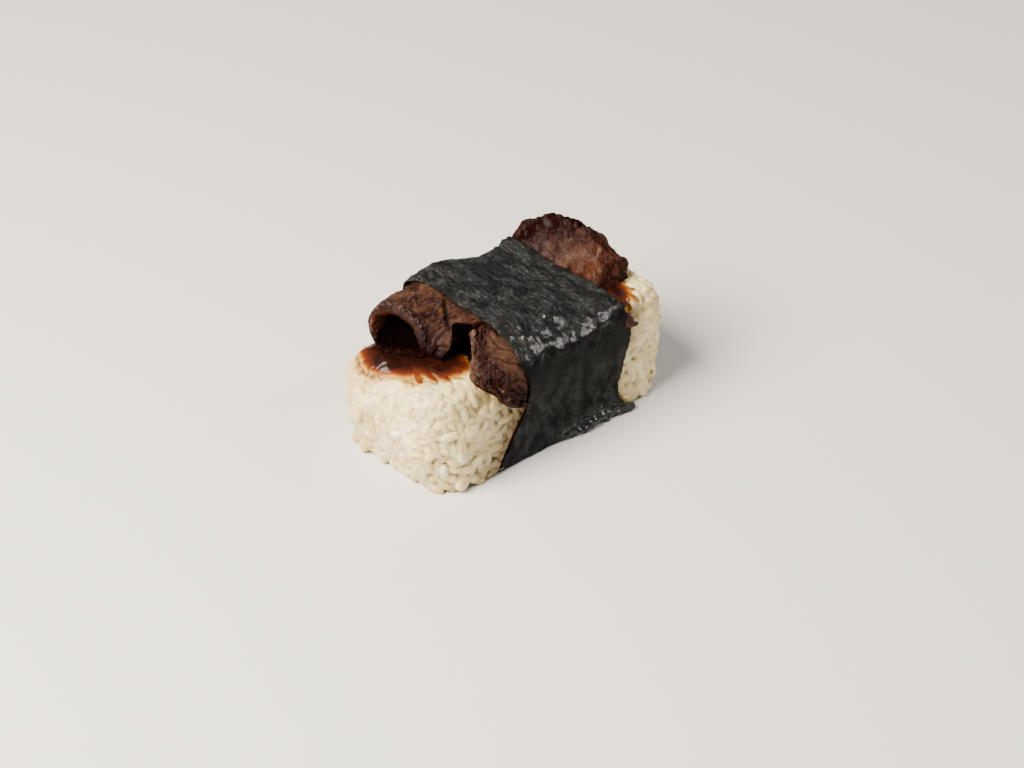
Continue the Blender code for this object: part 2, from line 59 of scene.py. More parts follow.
# Floor: how far it reaches each way and how far it lies under the rice, in metres
FLOOR_REACH = 6.0
FLOOR_DROP = 0.0001

# The room's light, then the softboxes: name, the way to each, how far off and how wide it is in metres,
# its watts and its tint
WORLD_STRENGTH = 0.28
LIGHTS = (
    ("window_left", (-0.68, 0.12, 0.72), 0.9, 0.6, 37.0, "#FFF2E0"),
    ("window_right", (0.573, -0.452, 0.685), 1.0, 0.09, 3.0, "#FFF8EE"),
)
# How high over the floor the softboxes look, in metres
LIGHT_AIM = 0.02

# Each solid's slot, and the material of the pieces that stand for it
FINISHES = {
    "rice_block": ("cooked_rice", "cooked_short_grain_rice"),
    "nori_band": ("toasted_nori", "toasted_nori_sheet"),
    "beef_slice_curl": ("glazed_beef", "grilled_glazed_beef"),
    "beef_slice_flap": ("glazed_beef", "grilled_glazed_beef"),
    "beef_slice_round": ("glazed_beef", "grilled_glazed_beef"),
    "sauce_pool_front": ("soy_glaze", "soy_and_sugar_sauce"),
    "sauce_pool_rear": ("soy_glaze", "soy_and_sugar_sauce"),
}

# Points that lie closer than this are one point
WELD = 0.001

# Rice block, as in the solid: its ends, half its width, its top at either end, its corners, the steps
# round a corner, and how far its sides swell out
BLOCK_ENDS = (-52.5, 51.5)
BLOCK_HALF_WIDTH = 25.2
BLOCK_TOP = (32.4, 36.2)
BLOCK_TOP_RISE = (0.1, 0.8)
BLOCK_MIDDLE = 17.0
END_CORNER = 13.0
TOP_CORNER = (8.5, 7.5)
FOOT_CORNER = 2.6
CORNER_STEPS = 10
SWELL = 0.45

# The nori's outer face, round the block from under its left side: across, up, and along at the front
# edge, then the same at the back edge, and how far the front swells and the back dips between them
NORI_RING = (
    ((22.0, 0.0, -22.0), (22.0, 0.0, 27.0), 0.0),
    ((8.0, 0.0, -23.0), (8.0, 0.0, 27.2), 0.0),
    ((-8.0, 0.0, -24.4), (-8.0, 0.0, 27.2), 0.0),
    ((-22.6, 0.0, -26.4), (-22.8, 0.0, 26.8), 0.0),
    ((-24.9, 2.0, -25.6), (-25.2, 2.0, 26.4), 0.0),
    ((-25.4, 12.0, -20.2), (-25.4, 10.0, 24.9), 0.0),
    ((-26.2, 22.0, -15.2), (-26.0, 19.0, 27.0), 0.0),
    ((-26.4, 30.5, -15.2), (-26.6, 29.0, 28.9), 0.1),
    ((-24.0, 37.0, -16.6), (-25.6, 37.0, 27.4), 0.2),
    ((-18.0, 40.2, -15.6), (-20.0, 40.6, 26.4), 0.4),
    ((-8.0, 42.8, -14.8), (-8.0, 41.0, 27.0), 0.6),
    ((6.0, 43.6, -15.0), (6.0, 40.3, 27.0), 1.0),
    ((17.0, 45.2, -15.4), (17.0, 41.4, 26.6), 1.7),
    ((24.6, 45.4, -19.4), (24.8, 42.6, 25.2), 2.3),
    ((27.2, 38.0, -19.0), (26.8, 36.0, 26.0), 0.8),
    ((26.6, 22.0, -18.0), (26.4, 20.0, 26.6), 0.0),
    ((25.2, 4.0, -20.0), (25.0, 4.0, 26.8), 0.0),
)
NORI_THICKNESS = 0.4
# Its loose hem at the foot of the right side: how far out it stands, where round the ring, how wide,
# and where along the block it starts
HEM_REACH = 2.4
HEM_AT = 0.225
HEM_SPREAD = 0.022
HEM_START = (0.35, 0.75)
# The nori's columns round the block and rows along it, the fine steps that space its columns, how much
# its hidden foot weighs in that, and how far its edges wander
NORI_GRID = (400, 112)
RING_STEPS = 2001
FOOT_WEIGHT = 0.3
EDGE_WANDER = 0.5

# Where the crumpled, damp nori mirrors the window: along, across, up, and size
GLARE_FACETS = (
    (4.0, -19.8, 40.2, 3.2),
    (-9.1, -23.1, 38.4, 3.2),
    (4.9, -25.5, 35.7, 2.6),
    (13.0, -25.1, 36.7, 2.8),
    (18.4, -24.5, 37.8, 2.2),
    (-0.8, -25.1, 36.3, 2.0),
    (-9.2, -20.1, 39.9, 1.8),
    (-14.0, -16.7, 40.7, 1.5),
    (-13.8, -24.5, 36.5, 1.3),
    (9.2, -25.5, 35.9, 1.5),
    (-2.5, -20.3, 40.1, 1.6),
    (23.0, -23.6, 38.6, 1.4),
    (1.5, -27.0, 2.8, 1.1),
    (4.6, -27.0, 3.2, 1.3),
    (7.4, -27.2, 2.6, 1.0),
    (10.8, -27.2, 3.1, 1.4),
    (13.6, -27.2, 2.6, 1.1),
    (17.2, -27.2, 3.0, 1.3),
    (20.4, -27.2, 2.7, 1.1),
)
# The way they face, how proud and how flat they are, and how far each spreads for its size
GLARE_WAY = (0.0, -0.65, 0.76)
GLARE_PROUD = 0.35
GLARE_FLATNESS = 0.92
GLARE_SPREAD = 1.4

# The form under the nori that holds the food in: its columns and rows, how far it goes on past both edges
# as a share of the nori's length, and how far it lies under the nori
SQUEEZE_GRID = (240, 30)
SQUEEZE_REACH = 0.3
SQUEEZE_GAP = 0.45
# How proud the food may stand just past the nori's edge, and over what length it rises to that
BEEF_SHOULDER = (0.9, 1.1)
RICE_SHOULDER = (0.8, 1.0)

# A slice of beef: its thickness, the steps round its rim, and how far apart its two sides' patterns lie
SLICE = 2.4
RIM_STEPS = 6
INNER_SHIFT = (0.0, 40.0, 0.0)

# The curl's outer face along its open front edge, and along its far edge inside the nori
CURL_EDGE = (
    (-34.0, 1.2, 33.6),
    (-39.4, 9.4, 33.4),
    (-40.6, 15.0, 33.8),
    (-39.8, 20.2, 36.8),
    (-38.6, 22.2, 40.2),
    (-37.0, 21.2, 44.0),
    (-33.6, 17.2, 45.8),
    (-32.2, 11.6, 45.0),
    (-32.4, 6.0, 43.4),
    (-33.6, 2.7, 40.2),
    (-33.8, 1.2, 36.4),
    (-32.9, -0.9, 33.9),
    (-30.2, -4.4, 34.4),
)
CURL_FAR = (
    (-6.0, 4.0, 35.6),
    (-6.0, 11.0, 35.2),
    (-6.0, 18.0, 35.6),
    (-6.0, 23.0, 37.0),
    (-6.0, 25.6, 40.0),
    (-6.0, 24.8, 44.4),
    (-6.0, 19.4, 45.2),
    (-6.0, 13.4, 43.8),
    (-6.0, 8.0, 42.6),
    (-6.0, 4.0, 42.0),
    (-6.0, 0.6, 41.8),
    (-6.0, -2.6, 41.6),
    (-6.0, -6.6, 41.4),
)
CURL_CROWN = 1.2
CURL_CROWN_FROM = (0.3, 0.5)
CURL_BORDER = (
    (-31.2, -3.6, 34.6),
    (-29.0, -5.2, 37.6),
    (-27.0, -4.4, 41.4),
    (-24.4, -2.0, 44.0),
    (-21.2, -5.4, 44.4),
    (-18.6, -6.6, 43.8),
    (-6.0, -6.6, 41.4),
)
CURL_BORDER_SHARES = (0.0, 0.1, 0.19, 0.28, 0.38, 0.48, 1.0)
CURL_BORDER_FROM = (0.84, 0.98)
# A crease across the curl's top: its two ends in plan and half its width
CURL_CREASE = ((-17.0, 9.6), (-25.6, -1.4), 0.8)
# Where the hanging lobe starts across the curl, and how steep it is
LOBE_FROM = (0.64, 0.86)
LOBE_STEEPNESS = 8.0
# The curl's width and length laid flat, and how many points it has each way
CURL_SIZE = (78.0, 28.0)
CURL_GRID = (310, 110)

# The flap's outer face along its open edge, across the top inside the nori, and at its far end
FLAP_EDGE = (
    (-21.4, -7.6, 43.2),
    (-23.8, -10.0, 39.2),
    (-26.6, -12.4, 35.8),
    (-30.8, -15.8, 34.2),
    (-30.8, -20.8, 32.2),
    (-28.2, -24.0, 29.8),
    (-24.2, -27.0, 25.0),
    (-18.4, -27.4, 22.2),
    (-10.0, -26.0, 21.6),
)
FLAP_MIDDLE = (
    (-13.0, -6.2, 42.0),
    (-13.0, -9.6, 41.6),
    (-13.0, -13.0, 40.8),
    (-13.0, -16.6, 39.6),
    (-13.0, -20.0, 38.0),
    (-13.0, -22.8, 35.8),
    (-12.0, -25.0, 32.0),
    (-10.0, -25.6, 27.0),
    (-6.0, -24.9, 22.4),
)
FLAP_FAR = (
    (24.0, -6.2, 39.8),
    (24.0, -9.6, 39.8),
    (24.0, -13.0, 39.7),
    (24.0, -16.6, 39.5),
    (24.0, -20.0, 39.2),
    (24.0, -23.0, 37.4),
    (24.0, -24.7, 33.8),
    (24.0, -25.0, 29.4),
    (24.0, -24.6, 25.4),
)
FLAP_TURN = 0.4
FLAP_CROWN = 2.0
FLAP_CROWN_WAY = (-0.5, -0.35, 0.8)
FLAP_CROWN_FROM = (0.0, 0.2)
FLAP_CROWN_TO = (0.7, 0.95)
FLAP_TIPS = ((0.55, 0.07, 6.5, 0.0), (0.82, 0.085, 8.0, 3.0))
FLAP_TIP_LEANS = (0.9, 0.98)
# The flap's width and length laid flat, and how many points it has each way
FLAP_SIZE = (46.0, 48.0)
FLAP_GRID = (190, 210)
# The flap's plates of meat: the way across them round the edge and in from it, their width, and where
# a slit lies
PLATE_WAY = (-0.38, 0.92)
PLATE_WIDTH = 4.7
PLATE_START = 2.9
# How far the flap's fibres turn from its slope towards the nori
FIBRE_TURN = math.radians(22)

# Torn scraps that show past the nori: name, solid, material, middle, half sizes, and turn in degrees.
# The stub of nori keeps the solid's own plain material, and needs none of the beef's facts
SCRAPS = (
    ("beef_tip_upper", "beef_slice_flap", "grilled_glazed_beef", (28.6, -21.8, 37.6), (2.4, 1.6, 1.3),
        (0, 20, -30)),
    ("beef_tip_lower", "beef_slice_flap", "grilled_glazed_beef", (28.0, -25.6, 33.2), (2.2, 1.4, 3.0),
        (-10, -28, -10)),
    ("nori_stub", "nori_band", "toasted_nori", (27.4, -27.4, 1.5), (3.0, 1.2, 1.3), (0, 0, -12)),
)
SCRAP_FACTS = {
    "beef_slice_flap": {"crease": 0.35, "tan": 0.0, "sauced": 0.35, "deep": 0.0, "wet": 0.1},
    "nori_band": {},
}
# A scrap's rings, and the points round each
SCRAP_GRID = (22, 40)

# The rounded slice at the far end: its plan, its rim and its heights, as in the solid
ROUND_MIDDLE = (20.4, 7.3)
ROUND_HALF = (26.1, 20.2)
ROUND_FOOT = 36.4
ROUND_HEIGHTS = (10.0, 4.6, 14.0)
ROUND_FALL = (21.0, 26.0)
ROUND_RISE = (26.0, 38.0)
ROUND_LEFT = (10.0, 23.0)
ROUND_SOONER = (2.0, 7.0)
ROUND_RIGHT = (-8.0, 6.0)
ROUND_LOWER = 1.8
ROUND_SQUARENESS = 3.2
ROUND_SHOULDER = 6
ROUND_SINK = 1.5
# The share of the way out where its top turns down, how far its side tucks in, and how thick its rim is
ROUND_BROW = 0.9
ROUND_TUCK = 0.14
ROUND_RIM = 0.6
# Its bumps' size and height, its outline's waves, and a torn point: where, how wide and how far out
ROUND_BUMPS = (9.0, 1.2)
ROUND_WAVES = (5, 0.6, 0.02)
ROUND_TIP = (-0.80, 0.13, 0.09)
ROUND_GRID = (200, 170)
# Marks on it in plan, with their two ends and half their width: a smooth patch beside the nori, a cut over
# it, a painted sheen at the far brow and a hole, both dented and painted dark as shade. Then a rolled fold
# with the groove beside it, and a knob
ROUND_PATCH = ((19.5, 13.0), (23.5, 2.5), 3.6)
ROUND_CUT = ((17.7, 15.9), (22.6, 12.3), 0.9)
ROUND_PAINTED_SHEEN = ((30.0, 3.4), (33.0, -0.8), 2.2)
ROUND_HOLE = ((25.0, 3.6), (27.2, 0.6), 1.4)
ROUND_ROLL = ((14.0, 21.0), (24.0, 21.6), (33.0, 18.6), (39.6, 10.6))
ROLL_WIDTH = 2.6
GROOVE_AT = 4.2
ROUND_KNOB = (20.7, 21.0)
# The way its fibres run in plan, and how much their pattern moves on down the hanging side
BUNCH_WAY = (0.9, 0.45)
HANG_WAY = (0.3, 0.5)

# Sauce pools: the outline of each on the rice, in plan
POOL_FRONT = (
    (-42.2, 21.6),
    (-46.6, 17.0),
    (-48.6, 11.0),
    (-47.0, 4.8),
    (-44.4, -0.8),
    (-41.0, -3.0),
    (-38.6, -6.2),
    (-35.4, -9.6),
    (-31.0, -12.2),
    (-25.0, -11.0),
    (-22.0, 0.0),
    (-27.0, 15.0),
    (-36.0, 21.0),
)
# Drips between the grains: the tip of each, and half its width
FRONT_DRIPS = ((-43.0, -7.6, 1.3), (-38.4, -9.7, 1.0), (-35.2, -12.0, 1.2))
REAR_DRIPS = ((39.6, -18.0, 0.8), (40.6, -12.6, 0.9), (36.8, -21.6, 0.9), (32.6, -23.4, 0.8))
POOL_REAR = (
    (30.4, -21.8),
    (34.6, -20.2),
    (38.6, -15.0),
    (38.4, -9.0),
    (36.0, -3.0),
    (30.4, -3.6),
    (29.4, -12.0),
)
POOL_DEPTH = 1.3
# How thin the sauce runs out at its rim, how far it goes under the rice's face, and a thick bead in plan
POOL_RIM = 0.45
POOL_ROOT = 1.4
POOL_BEAD = (-43.5, 7.5)
# The points each way in the front pool and in the rear one
FRONT_GRID = (130, 150)
REAR_GRID = (60, 90)

# Rice grains: their size, how close they lie, and how deep their middles are under the block's face
GRAIN_LENGTH = 5.9
GRAIN_WIDTH = 3.4
GRAIN_SPACING = 2.7
GRAIN_SINK = (0.6, 1.5)
GRAIN_TILT = 16.0
# A grain's rings and the points round each, and the least and most that it is scaled each way
GRAIN_RINGS = 7
GRAIN_SIDES = 8
GRAIN_LEAST = (0.82, 0.85, 0.85)
GRAIN_MOST = (1.14, 1.12, 1.1)
# The seed of the grains' tones
TONE_SEED = 5
# A few grains stand prouder than the rest, at this distance from the sauce, the beef and the nori
PROUD_SPACING = 7.5
PROUD_SINK = (-0.1, 0.8)
PROUD_SEED = 10
CLEAR_OF_SAUCE = 1.0
CLEAR_OF_COVERS = 3.0
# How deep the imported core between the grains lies, where tight and where loose, and how high its foot is.
# Then the cells and the faces of the skin that fuses them
CORE_SINK = (0.5, 1.5)
CORE_FOOT = 0.5
VOXEL = 0.26
RICE_FACES = 190000

# The face that the grains are laid on lies this deep, and these solids hide it
HOST_SINK = 0.45
COVERS = ("nori_band", "beef_slice_curl", "beef_slice_flap", "beef_slice_round")
# The rice at each end of the block: name, where it starts and stops, whether it is near, and its seed
RICE_ENDS = (
    ("rice_near_end", BLOCK_ENDS[0] + HOST_SINK, 0.0, True, 1),
    ("rice_far_end", 0.5, BLOCK_ENDS[1] - HOST_SINK, False, 2),
)
# Under the nori the rice's foot keeps inside this half width, below this height
FOOT_KEEP = 24.0
FOOT_HEIGHT = 6.0

# How far the block's ends lean out above its foot, and up to what height
LEAN = (3.2, 18.0)
LEAN_REACH = 15.0


def mix(low, high, share):
    return low + (high - low) * share


def smooth(low, high, value):
    """0 below low, 1 above high, and a smooth rise between them."""
    share = np.clip((np.asarray(value, float) - low) / (high - low), 0.0, 1.0)
    return share * share * (3 - 2 * share)


def bump(value, middle, spread):
    """1 at the middle, and a smooth fall to 0 on both sides."""
    return np.exp(-(((value - middle) / spread) ** 2))


def curve(points, share, closed=False):
    """Places at these shares of a smooth curve through the points."""
    points = np.asarray(points, float)
    count = len(points)
    spans = count if closed else count - 1
    place = np.asarray(share, float) * spans
    if not closed:
        place = np.clip(place, 0, spans)
    first = np.floor(place).astype(int)
    if not closed:
        first = np.minimum(first, spans - 1)
    t = (place - first)[..., None]
    steps = [first + step for step in (-1, 0, 1, 2)]
    a, b, c, d = (points[step % count if closed else np.clip(step, 0, count - 1)] for step in steps)
    rise = 2 * b + (c - a) * t + (2 * a - 5 * b + 4 * c - d) * t**2
    return (rise + (3 * b - a - 3 * c + d) * t**3) / 2


def rough(places, size, octaves, shift):
    """Fractal noise at places, about -1 to 1, with lumps of this size along each axis."""
    places = np.asarray(places, float)
    flat = places.reshape(-1, places.shape[-1]) / np.asarray(size, float) + shift
    if flat.shape[1] == 2:
        flat = np.column_stack([flat, np.full(len(flat), shift)])
    values = [noise.fractal(place, 1.0, 2.0, octaves) for place in flat.tolist()]
    return np.array(values).reshape(places.shape[:-1])


def lumps(places, size, octaves, shift):
    """Rounded lumps of about this size, 0 in the creases between them and up to about 1 on their tops."""
    return np.minimum(np.abs(rough(places, np.asarray(size, float) * 1.6, octaves, shift)) * 1.9, 1.0)


def near_line(x, y, line):
    """How far plan places lie from a straight line between two plan points."""
    start, end = (np.array(point) for point in line)
    way = end - start
    share = np.clip(((x - start[0]) * way[0] + (y - start[1]) * way[1]) / (way @ way), 0, 1)
    return np.hypot(x - start[0] - share * way[0], y - start[1] - share * way[1])


def mark(x, y, start, end, width):
    """1 on a straight mark between two plan points, and a smooth fall to 0 beside it."""
    return bump(near_line(x, y, (start, end)), 0.0, width)


def unit(vectors):
    length = np.linalg.norm(vectors, axis=-1, keepdims=True)
    return vectors / np.where(length > 0, length, 1.0)


def normals_of(surface, u, v, step=0.004):
    """The unit normals of a surface, which point out where u runs left to right as v runs away."""
    across = surface(u + step, v) - surface(u - step, v)
    away = surface(u, v + step) - surface(u, v - step)
    return unit(np.cross(across, away))


def mesh_object(name, points, faces, finish, facts=None):
    """A closed smooth object from points in millimetres. facts are numbers or vectors for each point."""
    mesh = bpy.data.meshes.new(name)
    mesh.from_pydata((np.asarray(points, float) * MM).tolist(), [], faces)
    for title, values in (facts or {}).items():
        kind, field = ("FLOAT", "value") if np.ndim(values) == 1 else ("FLOAT_VECTOR", "vector")
        attribute = mesh.attributes.new(title, kind, "POINT")
        attribute.data.foreach_set(field, np.ravel(values).astype(np.float32))
    shape = bmesh.new()
    shape.from_mesh(mesh)
    bmesh.ops.remove_doubles(shape, verts=shape.verts, dist=WELD * MM)
    bmesh.ops.recalc_face_normals(shape, faces=shape.faces)
    shape.to_mesh(mesh)
    shape.free()
    mesh.materials.append(finish)
    mesh.shade_smooth()
    made = bpy.data.objects.new(name, mesh)
    bpy.context.scene.collection.objects.link(made)
    return made


def grid_quads(rows, columns, wraps=True, start=0):
    """The quads between a grid's rows of points, numbered from start. A grid that wraps closes each row."""
    spans = columns if wraps else columns - 1
    both = np.meshgrid(np.arange(rows - 1), np.arange(spans), indexing="ij")
    row, column = (index.ravel() for index in both)
    after = (column + 1) % columns
    near, far = start + row * columns, start + (row + 1) * columns
    return np.stack([near + column, near + after, far + after, far + column], 1).tolist()


def shell_faces(rows, columns, wraps):
    """Quads of a shell between two grids of points, one after the other, joined along its rims."""
    size = rows * columns
    last = columns if wraps else columns - 1
    quads = grid_quads(rows, columns, wraps)
    faces = quads + [[index + size for index in reversed(quad)] for quad in quads]
    border = [(r * columns + c, r * columns + (c + 1) % columns) for r in (0, rows - 1) for c in range(last)]
    if not wraps:
        sides = [(c, r) for c in (0, columns - 1) for r in range(rows - 1)]
        border += [(r * columns + c, (r + 1) * columns + c) for c, r in sides]
    return faces + [(a, b, size + b, size + a) for a, b in border]


def lay(name, node, points, faces, facts, finish=None):
    """A piece that rides on the body, stands for a solid, and takes that solid's usual material."""
    slot, usual = FINISHES[node]
    piece = mesh_object(name, points, faces, bpy.data.materials[finish or usual], facts)
    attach(piece, "root")
    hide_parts(node)
    return piece


def lay_shell(name, node, outer, inner, facts, wraps=False):
    """A piece between its outer and inner grid of points. facts holds the outer and inner values of each."""
    points = np.concatenate([outer.reshape(-1, 3), inner.reshape(-1, 3)])
    values = {}
    for title, sides in facts.items():
        wide = sides[0].shape[2:]
        values[title] = np.concatenate([side.reshape(-1, *wide) for side in sides])
    return lay(name, node, points, shell_faces(*outer.shape[:2], wraps), values)


def both_sides(facts):
    return {title: (values, values) for title, values in facts.items()}


# Materials


def colour(hex_colour):
    """An sRGB hex colour as linear red, green, blue and alpha."""
    parts = [int(hex_colour[i : i + 2], 16) / 255 for i in (1, 3, 5)]
    return [c / 12.92 if c < 0.04045 else ((c + 0.055) / 1.055) ** 2.4 for c in parts] + [1.0]


def add(tree, kind, settings=None, values=None, links=None, stops=None):
    """Adds a node with its settings, its inputs' values, what feeds its inputs, and a ramp's stops."""
    made = tree.nodes.new(kind)
    for name, value in (settings or {}).items():
        setattr(made, name, value)
    for name, value in (values or {}).items():
        made.inputs[name].default_value = value
    for name, source in (links or {}).items():
        tree.links.new(source, made.inputs[name])
    if stops:
        ramp = made.color_ramp.elements
        while len(ramp) < len(stops):
            ramp.new(1.0)
        for element, (place, value) in zip(ramp, stops):
            element.position = place
            element.color = colour(value) if isinstance(value, str) else (value, value, value, 1.0)
    return made


def new_material(name, values):
    """A material, its node tree and its shader, with plain values set on the shader's own sockets."""
    made = bpy.data.materials.new(name)
    made.use_nodes = True
    shader = made.node_tree.nodes["Principled BSDF"]
    for title, value in values.items():
        shader.inputs[title].default_value = value
    return made.node_tree, shader


def cooked_rice():
    """Cooked short-grain rice: moist starch that light enters and softens, so that creases stay pale."""
    tree, shader = new_material("cooked_short_grain_rice", {
        "IOR": 1.38,
        "Subsurface Weight": 0.9,
        "Subsurface Radius": (1.0, 0.75, 0.45),
        "Subsurface Scale": 1.6 * MM,
        "Coat Weight": 0.3,
        "Coat Roughness": 0.22,
    })
    tone, painted_shade, stain = (
        add(tree, "ShaderNodeAttribute", {"attribute_name": title}).outputs["Fac"]
        for title in ("tone", "painted_shade", "stain")
    )
    place = add(tree, "ShaderNodeTexCoord").outputs["Object"]
    # Grains are cloudier in parts, over about a grain's length
    starch = add(tree, "ShaderNodeTexNoise", {}, {"Scale": 1 / (5.0 * MM), "Detail": 4.0}, {"Vector": place})
    grains = add(tree, "ShaderNodeValToRGB", {}, {}, {"Fac": tone},
        ((0.0, "#D8C58A"), (0.3, "#E5D49F"), (0.65, "#EEE0B2"), (1.0, "#F9F0CF")))
    thin = add(tree, "ShaderNodeMapRange", {}, {"To Min": 0.0, "To Max": 0.45},
        {"Value": starch.outputs["Fac"]})
    cloudy = add(tree, "ShaderNodeMix", {"data_type": "RGBA"}, {7: colour("#E0CE94")},
        {0: thin.outputs[0], 6: grains.outputs["Color"]})
    # Painted shade: ochre-brown between the grains, and where the rice is dimmed beside the nori and the
    # flap
    deep = add(tree, "ShaderNodeMix", {"data_type": "RGBA"}, {7: colour("#6E5930")},
        {0: painted_shade, 6: cloudy.outputs[2]})
    # Sauce soaks in: amber at its edge, then red-brown; the nearly black end is painted shade under the beef
    soak = add(tree, "ShaderNodeValToRGB", {}, {}, {"Fac": stain},
        ((0.0, "#EBDAA6"), (0.25, "#D0AC5C"), (0.5, "#93652B"), (0.75, "#4F250D"), (1.0, "#160603")))
    reach = add(tree, "ShaderNodeMath", {"operation": "MULTIPLY", "use_clamp": True}, {1: 2.4}, {0: stain})
    stained = add(tree, "ShaderNodeMix", {"data_type": "RGBA"}, {},
        {0: reach.outputs[0], 6: deep.outputs[2], 7: soak.outputs["Color"]})
    tree.links.new(stained.outputs[2], shader.inputs["Base Color"])
    # The film of starch on a grain is finer than this, and is drawn as coarse as it needs to show
    fine = add(tree, "ShaderNodeTexNoise", {}, {"Scale": 1 / (1.3 * MM), "Detail": 4.0}, {"Vector": place})
    damp = add(tree, "ShaderNodeMapRange", {}, {"To Min": 0.3, "To Max": 0.55},
        {"Value": fine.outputs["Fac"]})
    tree.links.new(damp.outputs[0], shader.inputs["Roughness"])
    relief = add(tree, "ShaderNodeBump", {}, {"Strength": 0.45, "Distance": 0.25 * MM},
        {"Height": fine.outputs["Fac"]})
    tree.links.new(relief.outputs[0], shader.inputs["Normal"])


def toasted_nori():
    """Toasted nori: felted seaweed fibres, nearly black, matt where dry and glossy where sauce wet it."""
    tree, shader = new_material("toasted_nori_sheet", {
        "IOR": 1.4,
        "Specular IOR Level": 0.08,
        "Coat IOR": 1.5,
        "Coat Roughness": 0.22,
    })
    along = add(tree, "ShaderNodeAttribute", {"attribute_name": "along"}).outputs["Vector"]
    wet, low, painted_side_shade = (
        add(tree, "ShaderNodeAttribute", {"attribute_name": title}).outputs["Fac"]
        for title in ("wet", "low", "painted_side_shade")
    )
    # Bundles of fibre 2 mm long. A real fibre is under 0.1 mm wide, and is drawn coarser so that it shows
    fibre_way = add(tree, "ShaderNodeMapping", {}, {"Scale": (1 / 2.0, 1 / 0.75, 1.0)}, {"Vector": along})
    fibres = add(tree, "ShaderNodeTexNoise", {},
        {"Scale": 1.0, "Detail": 6.0, "Roughness": 0.7, "Distortion": 0.6}, {"Vector": fibre_way.outputs[0]})
    felt_way = add(tree, "ShaderNodeMapping", {}, {"Scale": (1 / 0.55, 1 / 0.5, 1.0)}, {"Vector": along})
    felt = add(tree, "ShaderNodeTexNoise", {}, {"Scale": 1.0, "Detail": 4.0, "Roughness": 0.7},
        {"Vector": felt_way.outputs[0]})
    # The pressed sheet is thicker and thinner in clouds of 4 to 6 mm
    cloud_way = add(tree, "ShaderNodeMapping", {}, {"Scale": (1 / 6.0, 1 / 4.0, 1.0)}, {"Vector": along})
    clouds = add(tree, "ShaderNodeTexNoise", {}, {"Scale": 1.0, "Detail": 4.0, "Roughness": 0.6},
        {"Vector": cloud_way.outputs[0]})
    both = add(tree, "ShaderNodeMath", {"operation": "ADD"}, {},
        {0: fibres.outputs["Fac"], 1: felt.outputs["Fac"]})
    half = add(tree, "ShaderNodeMath", {"operation": "MULTIPLY"}, {1: 0.5}, {0: both.outputs[0]})
    strand = add(tree, "ShaderNodeValToRGB", {}, {}, {"Fac": half.outputs[0]},
        ((0.38, "#0B0B0B"), (0.5, "#232526"), (0.62, "#505354")))
    # Painted side shade: the nori is darker on its sides than on its top
    darkest = add(tree, "ShaderNodeMapRange", {}, {"To Min": 0.35, "To Max": 0.05}, {"Value": painted_side_shade})
    palest = add(tree, "ShaderNodeMapRange", {}, {"To Min": 1.0, "To Max": 0.78}, {"Value": painted_side_shade})
    cloud = add(tree, "ShaderNodeMapRange", {}, {"From Min": 0.42, "From Max": 0.6},
        {"Value": clouds.outputs["Fac"], "To Min": darkest.outputs[0], "To Max": palest.outputs[0]})
    patch = add(tree, "ShaderNodeMix", {"data_type": "RGBA", "blend_type": "MULTIPLY"}, {0: 1.0},
        {6: strand.outputs["Color"], 7: cloud.outputs[0]})
    # Nearly black where wet, and where low paints shade in the wrinkles and under the shoulder
    damp = add(tree, "ShaderNodeMath", {"operation": "MAXIMUM", "use_clamp": True}, {}, {0: wet, 1: low})
    dark = add(tree, "ShaderNodeMix", {"data_type": "RGBA"}, {7: colour("#040404")},
        {0: damp.outputs[0], 6: patch.outputs[2]})
    specks = add(tree, "ShaderNodeValToRGB", {}, {}, {"Fac": felt.outputs["Fac"]},
        ((0.0, 0.0), (0.72, 0.0), (0.79, 0.5)))
    speckled = add(tree, "ShaderNodeMix", {"data_type": "RGBA"}, {7: colour("#5D5E57")},
        {0: specks.outputs["Color"], 6: dark.outputs[2]})
    tree.links.new(speckled.outputs[2], shader.inputs["Base Color"])
    dry = add(tree, "ShaderNodeMapRange", {}, {"To Min": 0.4, "To Max": 0.65},
        {"Value": felt.outputs["Fac"]})
    tree.links.new(dry.outputs[0], shader.inputs["Roughness"])
    tree.links.new(wet, shader.inputs["Coat Weight"])
    relief = add(tree, "ShaderNodeBump", {}, {"Strength": 0.9, "Distance": 0.3 * MM},
        {"Height": both.outputs[0]})
    tree.links.new(relief.outputs[0], shader.inputs["Normal"])
    film = add(tree, "ShaderNodeBump", {}, {"Strength": 0.4, "Distance": 0.12 * MM},
        {"Height": both.outputs[0]})
    tree.links.new(film.outputs[0], shader.inputs["Coat Normal"])


